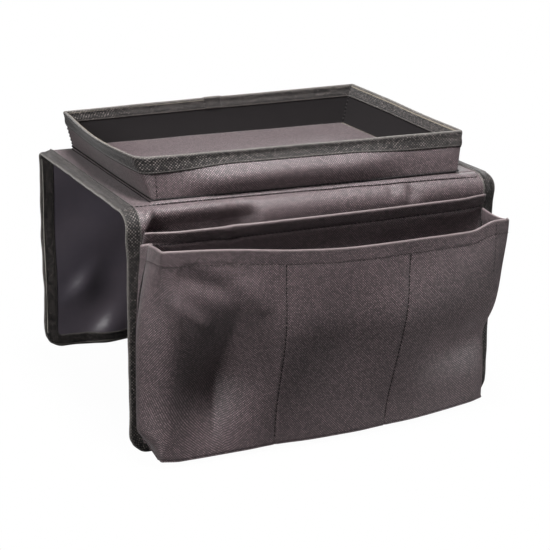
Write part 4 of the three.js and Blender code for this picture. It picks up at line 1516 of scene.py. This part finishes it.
# Folds that pull from the left corner of the mouth: start, end, width and height
CORNER_FOLDS = (
    (Vector((-152 * MM, -44 * MM)), Vector((-112 * MM, -84 * MM)), 7 * MM, 4.0 * MM),
    (Vector((-138 * MM, -34 * MM)), Vector((-84 * MM, -56 * MM)), 7 * MM, -3.0 * MM),
    (Vector((-92 * MM, -44 * MM)), Vector((-66 * MM, -72 * MM)), 9 * MM, 1.8 * MM),
)
FRONT_BELLY = 1.6 * MM  # how far each compartment is filled out
BELLY_REACH = 30.0 * MM  # from a row of stitches or the mouth to where it is
ROW_GROOVE = 0.9 * MM  # depth and width of the groove at a divider's stitches
ROW_GROOVE_EASE = 2.0 * MM
FRONT_HEM = 0.15 * MM  # how far the hem stands out, and its stitches lie in
FRONT_HEM_EDGE = 1.2 * MM
HEM_ROW_WIDTH = 0.9 * MM
FRONT_RIPPLE = 1.0 * MM
FRONT_RIPPLE_SIZE = 42.0 * MM
FRONT_PUCKER = 0.3 * MM
FRONT_PUCKER_SIZE = 6.0 * MM


def hollow_depth(x, z):
    """How far the front falls in at a place: to a crease in the left compartment, softly in the others."""
    for left, right, depth, start, deepest, end in HOLLOWS:
        if left <= x <= right:
            down = min(max((start - z) / (start - deepest), 0.0), 1.0)
            sunk = depth * mix(down, smooth_step(down), HOLLOW_EASE) * fall(deepest - z, 0.0, deepest - end)
            if depth < CREASED:
                return sunk * math.sin(math.pi * (x - left) / (right - left)) ** HOLLOW_ROUND
            share = (z - CREASE_TOP.y) / (CREASE_FOOT.y - CREASE_TOP.y)
            share = min(max(share, -CREASE_PAST), 1 + CREASE_PAST)
            valley = mix(CREASE_TOP.x, CREASE_FOOT.x, share)
            if x < valley:
                return sunk * ((x - left) / (valley - left)) ** CREASE_LEFT
            return sunk * ((right - x) / (right - valley)) ** CREASE_RIGHT
    return 0.0


def fold_line(x, z, start, end, width):
    """How near a place is to a fold between two places, from 0 to 1, fading at the fold's ends."""
    run = end - start
    away = Vector((x, z)) - start
    share = away.dot(run) / run.length_squared
    off = (away - run * share).length
    return hump(off, width) * math.sin(math.pi * min(max(share, 0.0), 1.0)) ** 0.5


def pocket_relief(x, z, below):
    """How far the cloth of the boxed pocket's front stands out past its main shape."""
    room = min(abs(x + DIVIDER_X), abs(x - DIVIDER_X))
    groove = ROW_GROOVE * hump(room, ROW_GROOVE) * rise(below, HEM, ROW_GROOVE_EASE)
    belly = FRONT_BELLY * rise(below, 0.0, BELLY_REACH) * rise(room, 0.0, BELLY_REACH)
    hem = FRONT_HEM * fall(below, HEM - FRONT_HEM_EDGE, FRONT_HEM_EDGE)
    row = FRONT_HEM * hump(below - HEM, HEM_ROW_WIDTH)
    soft = FRONT_RIPPLE * ripple(11, x, z, FRONT_RIPPLE_SIZE)
    near_rows = hump(room, FRONT_PUCKER_SIZE) + hump(below - HEM, PUCKER_REACH)
    pucker = FRONT_PUCKER * ripple(12, x, z, FRONT_PUCKER_SIZE) * near_rows
    folds = sum(height * fold_line(x, z, start, end, width) for start, end, width, height in CORNER_FOLDS)
    return belly - groove + hem - row + soft + pucker + folds - hollow_depth(x, z)


LEFT_GUSSET_SAG = 4.5 * MM  # how far the left gusset's mouth falls towards the flap
LEFT_GUSSET_CURVE = 1.5  # over 1, it falls most beside the flap
LEFT_GUSSET_BOW = 1.2 * MM
RIGHT_GUSSET_SAG = 2.2 * MM
RIGHT_FOOT_SHARE = 0.9  # share of the right foot's stand in which the gusset comes down to it
FRONT_EDGE = 2.0 * MM  # how far past the pocket's end the gusset's own levels start
FRONT_EDGE_WIDTH = 18.0 * MM
OUTLINE_STEP = 0.02  # along the outline, to find the way out of it


def gusset_levels(stand, end):
    """The lowest and highest level of a gusset at a distance off the flap."""
    share = min(stand / MOUTH_STAND, 1.0)
    bow = math.sin(math.pi * share)
    corner = pocket_mouth(end * HALF_POCKET)
    if end == LEFT:
        foot = mix(POCKET_SEAM, POCKET_FOOT, share)
        return foot, corner - LEFT_GUSSET_SAG * (1 - share) ** LEFT_GUSSET_CURVE + LEFT_GUSSET_BOW * bow
    foot = mix(POCKET_SEAM, POCKET_FOOT, min(stand / (RIGHT_FOOT_SHARE * FOOT_STAND_RIGHT), 1.0))
    return foot, corner - RIGHT_GUSSET_SAG * bow


def pocket_point(at, up, lift):
    """A place on the boxed pocket: round its outline, a share up its face, and off its face."""
    inside_up = min(up, 1.0)
    here = pocket_outline(at, inside_up)
    before = pocket_outline(max(at - OUTLINE_STEP, 0.0), inside_up)
    after = pocket_outline(min(at + OUTLINE_STEP, 5.0), inside_up)
    tangent = (after - before).normalized()
    normal = Vector((-tangent.y, tangent.x))
    front_share = rise(HALF_POCKET + FRONT_EDGE - abs(here.x), 0.0, FRONT_EDGE_WIDTH)
    gusset_foot, gusset_mouth = gusset_levels(here.y, LEFT if at < 2.5 else RIGHT)
    foot = mix(gusset_foot, POCKET_FOOT, front_share)
    mouth = mix(gusset_mouth, pocket_mouth(here.x), front_share)
    z = mix(foot, mouth, up)
    # The cloth's own place along X, which the slant of the stitches doesn't move
    x_cloth = mix(-FRONT_END, FRONT_END, at - 2) if 2 <= at <= 3 else here.x
    relief = pocket_relief(x_cloth, z, mouth - z) * front_share
    flat = here + normal * (relief + lift)
    return Vector((flat.x, -FLAP_FACE - flat.y, z))


POCKET_HEIGHT = pocket_mouth(0.0) - POCKET_FOOT
POCKET_BEND_REACH = 45.0 * MM  # how far off the flap the cloth moves wholly with the pocket
POCKET_BEND = {
    "start": (0, -FLAP_FACE - POCKET_ROOT, POCKET_SEAM),
    "end": (0, -FLAP_FACE - POCKET_BEND_REACH, POCKET_SEAM),
}
ROW_COLUMNS = (-1.8 * MM, -0.9 * MM, 0.0, 0.9 * MM, 1.8 * MM)  # columns beside a row of stitches
COLUMN_ROOM = 0.004  # least place between those and the others, round the outline
STRIP_END = 0.28  # share of a gusset's depth in which its sewn edge and dip lie


def pocket_stations():
    """Places round the outline, closer together at the left gusset's strip and at the rows of stitches."""
    gusset = spaced(0.0, STRIP_END, 0.028)[:-1] + spaced(STRIP_END, 1.0, 0.072)
    half_way = gusset[:-1] + spaced(1.0, 2.0, 1 / 14)[:-1]
    rows = [front_at(end * DIVIDER_X + step) for end in (LEFT, RIGHT) for step in ROW_COLUMNS]
    clear = [at for at in spaced(2.0, 3.0, 1 / 110) if min(abs(at - row) for row in rows) > COLUMN_ROOM]
    return half_way + sorted(clear + rows) + [5 - at for at in reversed(half_way)]


def make_pocket_body(stations):
    def place(at, up):
        level, behind = hem_place(up, POCKET_HEIGHT)
        return pocket_point(at, level / POCKET_HEIGHT, -behind)

    rows = hem_rows(POCKET_HEIGHT)
    wear_highlight = mouth_wear_highlight(rows, POCKET_HEIGHT)
    grid = lay_cloth(stations, rows, place, (0, -1, 0), wear_highlight_rows=wear_highlight, straight=False)
    body = make_cloth("boxed_pocket", grid, POCKET_CLOTH)
    flat = (2 * (HALF_POCKET + MOUTH_STAND), POCKET_HEIGHT + HEM)
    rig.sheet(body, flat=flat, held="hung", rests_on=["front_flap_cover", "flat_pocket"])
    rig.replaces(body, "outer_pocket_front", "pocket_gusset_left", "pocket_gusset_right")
    return body


def make_pocket_base(stations):
    def place(at, back):
        rim = pocket_point(at, 0.0, 0.0)
        root_x = min(max(rim.x, -HALF_POCKET), HALF_POCKET)
        return rim.lerp(Vector((root_x, -FLAP_FACE - POCKET_ROOT, POCKET_SEAM)), back)

    grid = lay_cloth(stations, spaced(0.0, 1.0, 0.1), place, (0, 0, -1))
    base = make_cloth("boxed_pocket_base", grid, POCKET_CLOTH)
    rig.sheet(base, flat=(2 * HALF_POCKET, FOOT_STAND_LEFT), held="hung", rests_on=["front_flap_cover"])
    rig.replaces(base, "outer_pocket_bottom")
    return base


WEB_BEHIND = 1.2 * MM  # how far a web's front edge lies behind the front's face
WEB_BEFORE = 1.0 * MM  # and its root before the flat pocket's


def make_web(number, x):
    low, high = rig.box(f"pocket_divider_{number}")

    def place(out, up):
        z = mix(low.z, high.z, up)
        share = (z - POCKET_FOOT) / (pocket_mouth(x) - POCKET_FOOT)
        face = pocket_point(front_at(x), share, -WEB_BEHIND)
        root = inner_pocket_point(x, z - POCKET_SEAM, WEB_BEFORE)
        return Vector((mix(x, face.x, out), mix(root.y, face.y, out), z))

    grid = lay_cloth(spaced(0.0, 1.0, 0.1), spaced(0.0, 1.0, 0.05), place, (1, 0, 0))
    web = make_cloth(f"pocket_web_{number}", grid, WEB_CLOTH)
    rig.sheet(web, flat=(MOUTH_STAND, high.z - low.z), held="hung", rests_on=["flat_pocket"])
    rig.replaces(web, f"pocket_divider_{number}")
    return web


DIVIDER_STITCH = (3.1 * MM, 1.2 * MM)
DIVIDER_STITCH_END = 0.03
STRIP_STITCH = (3.6 * MM, 2.0 * MM)
STRIP_STITCH_AT = 0.17  # place round the outline, in the dip behind the left gusset's sewn edge
STRIP_STITCH_LIFT = 0.3 * MM
CORNER_STITCH_AT = 3.12  # place round the outline of the short row at the mouth's right corner


def sew_boxed_pocket():
    bm = bmesh.new()
    hem_up = 1 - HEM / POCKET_HEIGHT
    sew_on(bm, pocket_point, [(at, hem_up) for at in spaced(0.1, 4.9, 0.01)], ON_CLOTH)
    for x in (-DIVIDER_X, DIVIDER_X):
        row = [(front_at(x), up) for up in spaced(hem_up, DIVIDER_STITCH_END, 0.015)]
        sew_on(bm, pocket_point, row, ON_CLOTH, DIVIDER_STITCH)
    corner = [(CORNER_STITCH_AT, up) for up in spaced(0.99, EDGE_PINCH_FROM, 0.01)]
    sew_on(bm, pocket_point, corner, ON_CLOTH)
    strip = [(STRIP_STITCH_AT, up) for up in spaced(0.98, 0.1, 0.01)]
    sew_on(bm, pocket_point, strip, STRIP_STITCH_LIFT, STRIP_STITCH)
    return make_piece("boxed_pocket_stitches", bm, thread, "cloth")


def make_boxed_pocket():
    stations = pocket_stations()
    pieces = [make_pocket_body(stations), make_pocket_base(stations)]
    pieces += [make_web(1, -DIVIDER_X), make_web(2, DIVIDER_X), sew_boxed_pocket()]
    for piece in pieces:
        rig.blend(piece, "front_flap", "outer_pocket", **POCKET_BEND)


# Solids that stay as they are, out of sight inside the cloth
def dress_solids():
    for name, node in frame["nodes"].items():
        if not node.hide_render:
            node.data.materials.clear()
            node.data.materials.append(felt if name.endswith("felt") else board)


# Stage
PAPER_SIZE = 4.0
PAPER_GAP = 1.0 * MM  # how far below the object the paper lies
PAPER_SHADE = (0.8, 0.8, 0.8, 1)  # what the camera sees of its shadow
PAPER_DARK = (0.09, 0.09, 0.09, 1)  # what it throws back on the object
WHITE = (1, 1, 1, 1)
SHADOW_CLEAR = 0.97  # share of plain white in the paper near the object
SHADOW_FROM = 0.15
SHADOW_TO = 0.4
SKY_STRENGTH = 0.02  # of the world's light on the object. The camera sees white

# Lamps: place, aim, size, power and spread
LAMPS = {
    "key_light": ((-0.1, -0.4, 1.44), (0, 0, 0), 0.45, 31.0, math.pi),
    "left_light": ((-1.2, -0.68, 0.62), (0, 0, 0), 0.5, 9.0, math.pi),
    "back_light": ((1.0, 1.0, 0.45), (0, 0, 0), 0.5, 5.0, math.pi),
    "right_light": ((0.6, -0.6, -0.02), (0.13, -0.13, -0.14), 0.1, 0.03, math.radians(20)),
}


def make_paper_material():
    """White to the camera but for a trace of the object's shadow, and dark to every other ray."""
    paper = bpy.data.materials.new("paper")
    paper.use_nodes = True
    tree = paper.node_tree
    tree.nodes.clear()
    looked_at = add_node(tree, "ShaderNodeLightPath").outputs["Is Camera Ray"]
    shade = blend_colours(tree, looked_at, PAPER_DARK, PAPER_SHADE)
    matte = add_node(tree, "ShaderNodeBsdfDiffuse", {"Color": shade})
    white = add_node(tree, "ShaderNodeEmission", {"Color": WHITE, "Strength": 1.0})
    place = add_node(tree, "ShaderNodeTexCoord").outputs["Object"]
    away = add_node(tree, "ShaderNodeVectorMath", {0: place}, operation="LENGTH").outputs["Value"]
    clearing = {"Value": away, "From Min": SHADOW_FROM, "From Max": SHADOW_TO, "To Min": SHADOW_CLEAR}
    cleared = add_node(tree, "ShaderNodeMapRange", clearing, interpolation_type="SMOOTHSTEP")
    seen = sums(tree, "MULTIPLY", looked_at, cleared.outputs["Result"])
    both = add_node(tree, "ShaderNodeMixShader", {0: seen, 1: matte.outputs[0], 2: white.outputs[0]})
    add_node(tree, "ShaderNodeOutputMaterial", {"Surface": both.outputs[0]})
    return paper


def make_paper():
    bm = bmesh.new()
    bmesh.ops.create_grid(bm, x_segments=1, y_segments=1, size=PAPER_SIZE)
    bmesh.ops.translate(bm, verts=bm.verts, vec=(0, 0, LOWEST - PAPER_GAP))
    mesh = bpy.data.meshes.new("floor")
    bm.to_mesh(mesh)
    bm.free()
    mesh.materials.append(make_paper_material())
    floor = bpy.data.objects.new("floor", mesh)
    bpy.context.scene.collection.objects.link(floor)
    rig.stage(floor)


def make_world():
    world = bpy.data.worlds.new("studio")
    bpy.context.scene.world = world
    world.use_nodes = True
    tree = world.node_tree
    tree.nodes.clear()
    seen = add_node(tree, "ShaderNodeLightPath").outputs["Is Camera Ray"]
    strength = remap(tree, seen, SKY_STRENGTH, 1.0)
    sky = add_node(tree, "ShaderNodeBackground", {"Color": WHITE, "Strength": strength})
    add_node(tree, "ShaderNodeOutputWorld", {"Surface": sky.outputs[0]})


def make_lamps():
    for name, (place, aim, size, power, spread) in LAMPS.items():
        lamp = bpy.data.lights.new(name, "AREA")
        lamp.shape = "SQUARE"
        lamp.size = size
        lamp.energy = power
        lamp.spread = spread
        holder = bpy.data.objects.new(name, lamp)
        holder.location = place
        holder.rotation_euler = (Vector(aim) - Vector(place)).to_track_quat("-Z", "Y").to_euler()
        bpy.context.scene.collection.objects.link(holder)


# Camera: its bearing and height as angles, its roll, and how far it stands from what it looks at
CAMERA_BEARING = math.radians(-24.75)
CAMERA_RISE = math.radians(17.46)
CAMERA_ROLL = math.radians(0.6)
CAMERA_DISTANCE = 1405.5 * MM
CAMERA_TARGET = Vector((13.49 * MM, 0.0, -97.11 * MM))
CAMERA_LENS = 106.5
CAMERA_SENSOR = 36.0


def make_camera():
    flat = math.cos(CAMERA_RISE)
    back = Vector((math.sin(CAMERA_BEARING) * flat, -math.cos(CAMERA_BEARING) * flat, math.sin(CAMERA_RISE)))
    right = Vector((math.cos(CAMERA_BEARING), math.sin(CAMERA_BEARING), 0.0))
    up = back.cross(right)
    turned_right = right * math.cos(CAMERA_ROLL) + up * math.sin(CAMERA_ROLL)
    turned_up = up * math.cos(CAMERA_ROLL) - right * math.sin(CAMERA_ROLL)
    camera = bpy.data.objects.new("camera", bpy.data.cameras.new("camera"))
    camera.data.lens = CAMERA_LENS
    camera.data.sensor_width = CAMERA_SENSOR
    place = Matrix((turned_right, turned_up, back)).transposed().to_4x4()
    camera.matrix_world = Matrix.Translation(CAMERA_TARGET + back * CAMERA_DISTANCE) @ place
    bpy.context.scene.collection.objects.link(camera)
    bpy.context.scene.camera = camera


make_saddle()
make_bindings()
make_tray()
make_welt()
make_inner_pocket()
make_boxed_pocket()
dress_solids()
bpy.context.scene.view_settings.view_transform = "Standard"
make_paper()
make_world()
make_lamps()
make_camera()

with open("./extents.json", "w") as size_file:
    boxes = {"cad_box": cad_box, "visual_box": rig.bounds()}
    json.dump({name: [list(low), list(high)] for name, (low, high) in boxes.items()}, size_file)
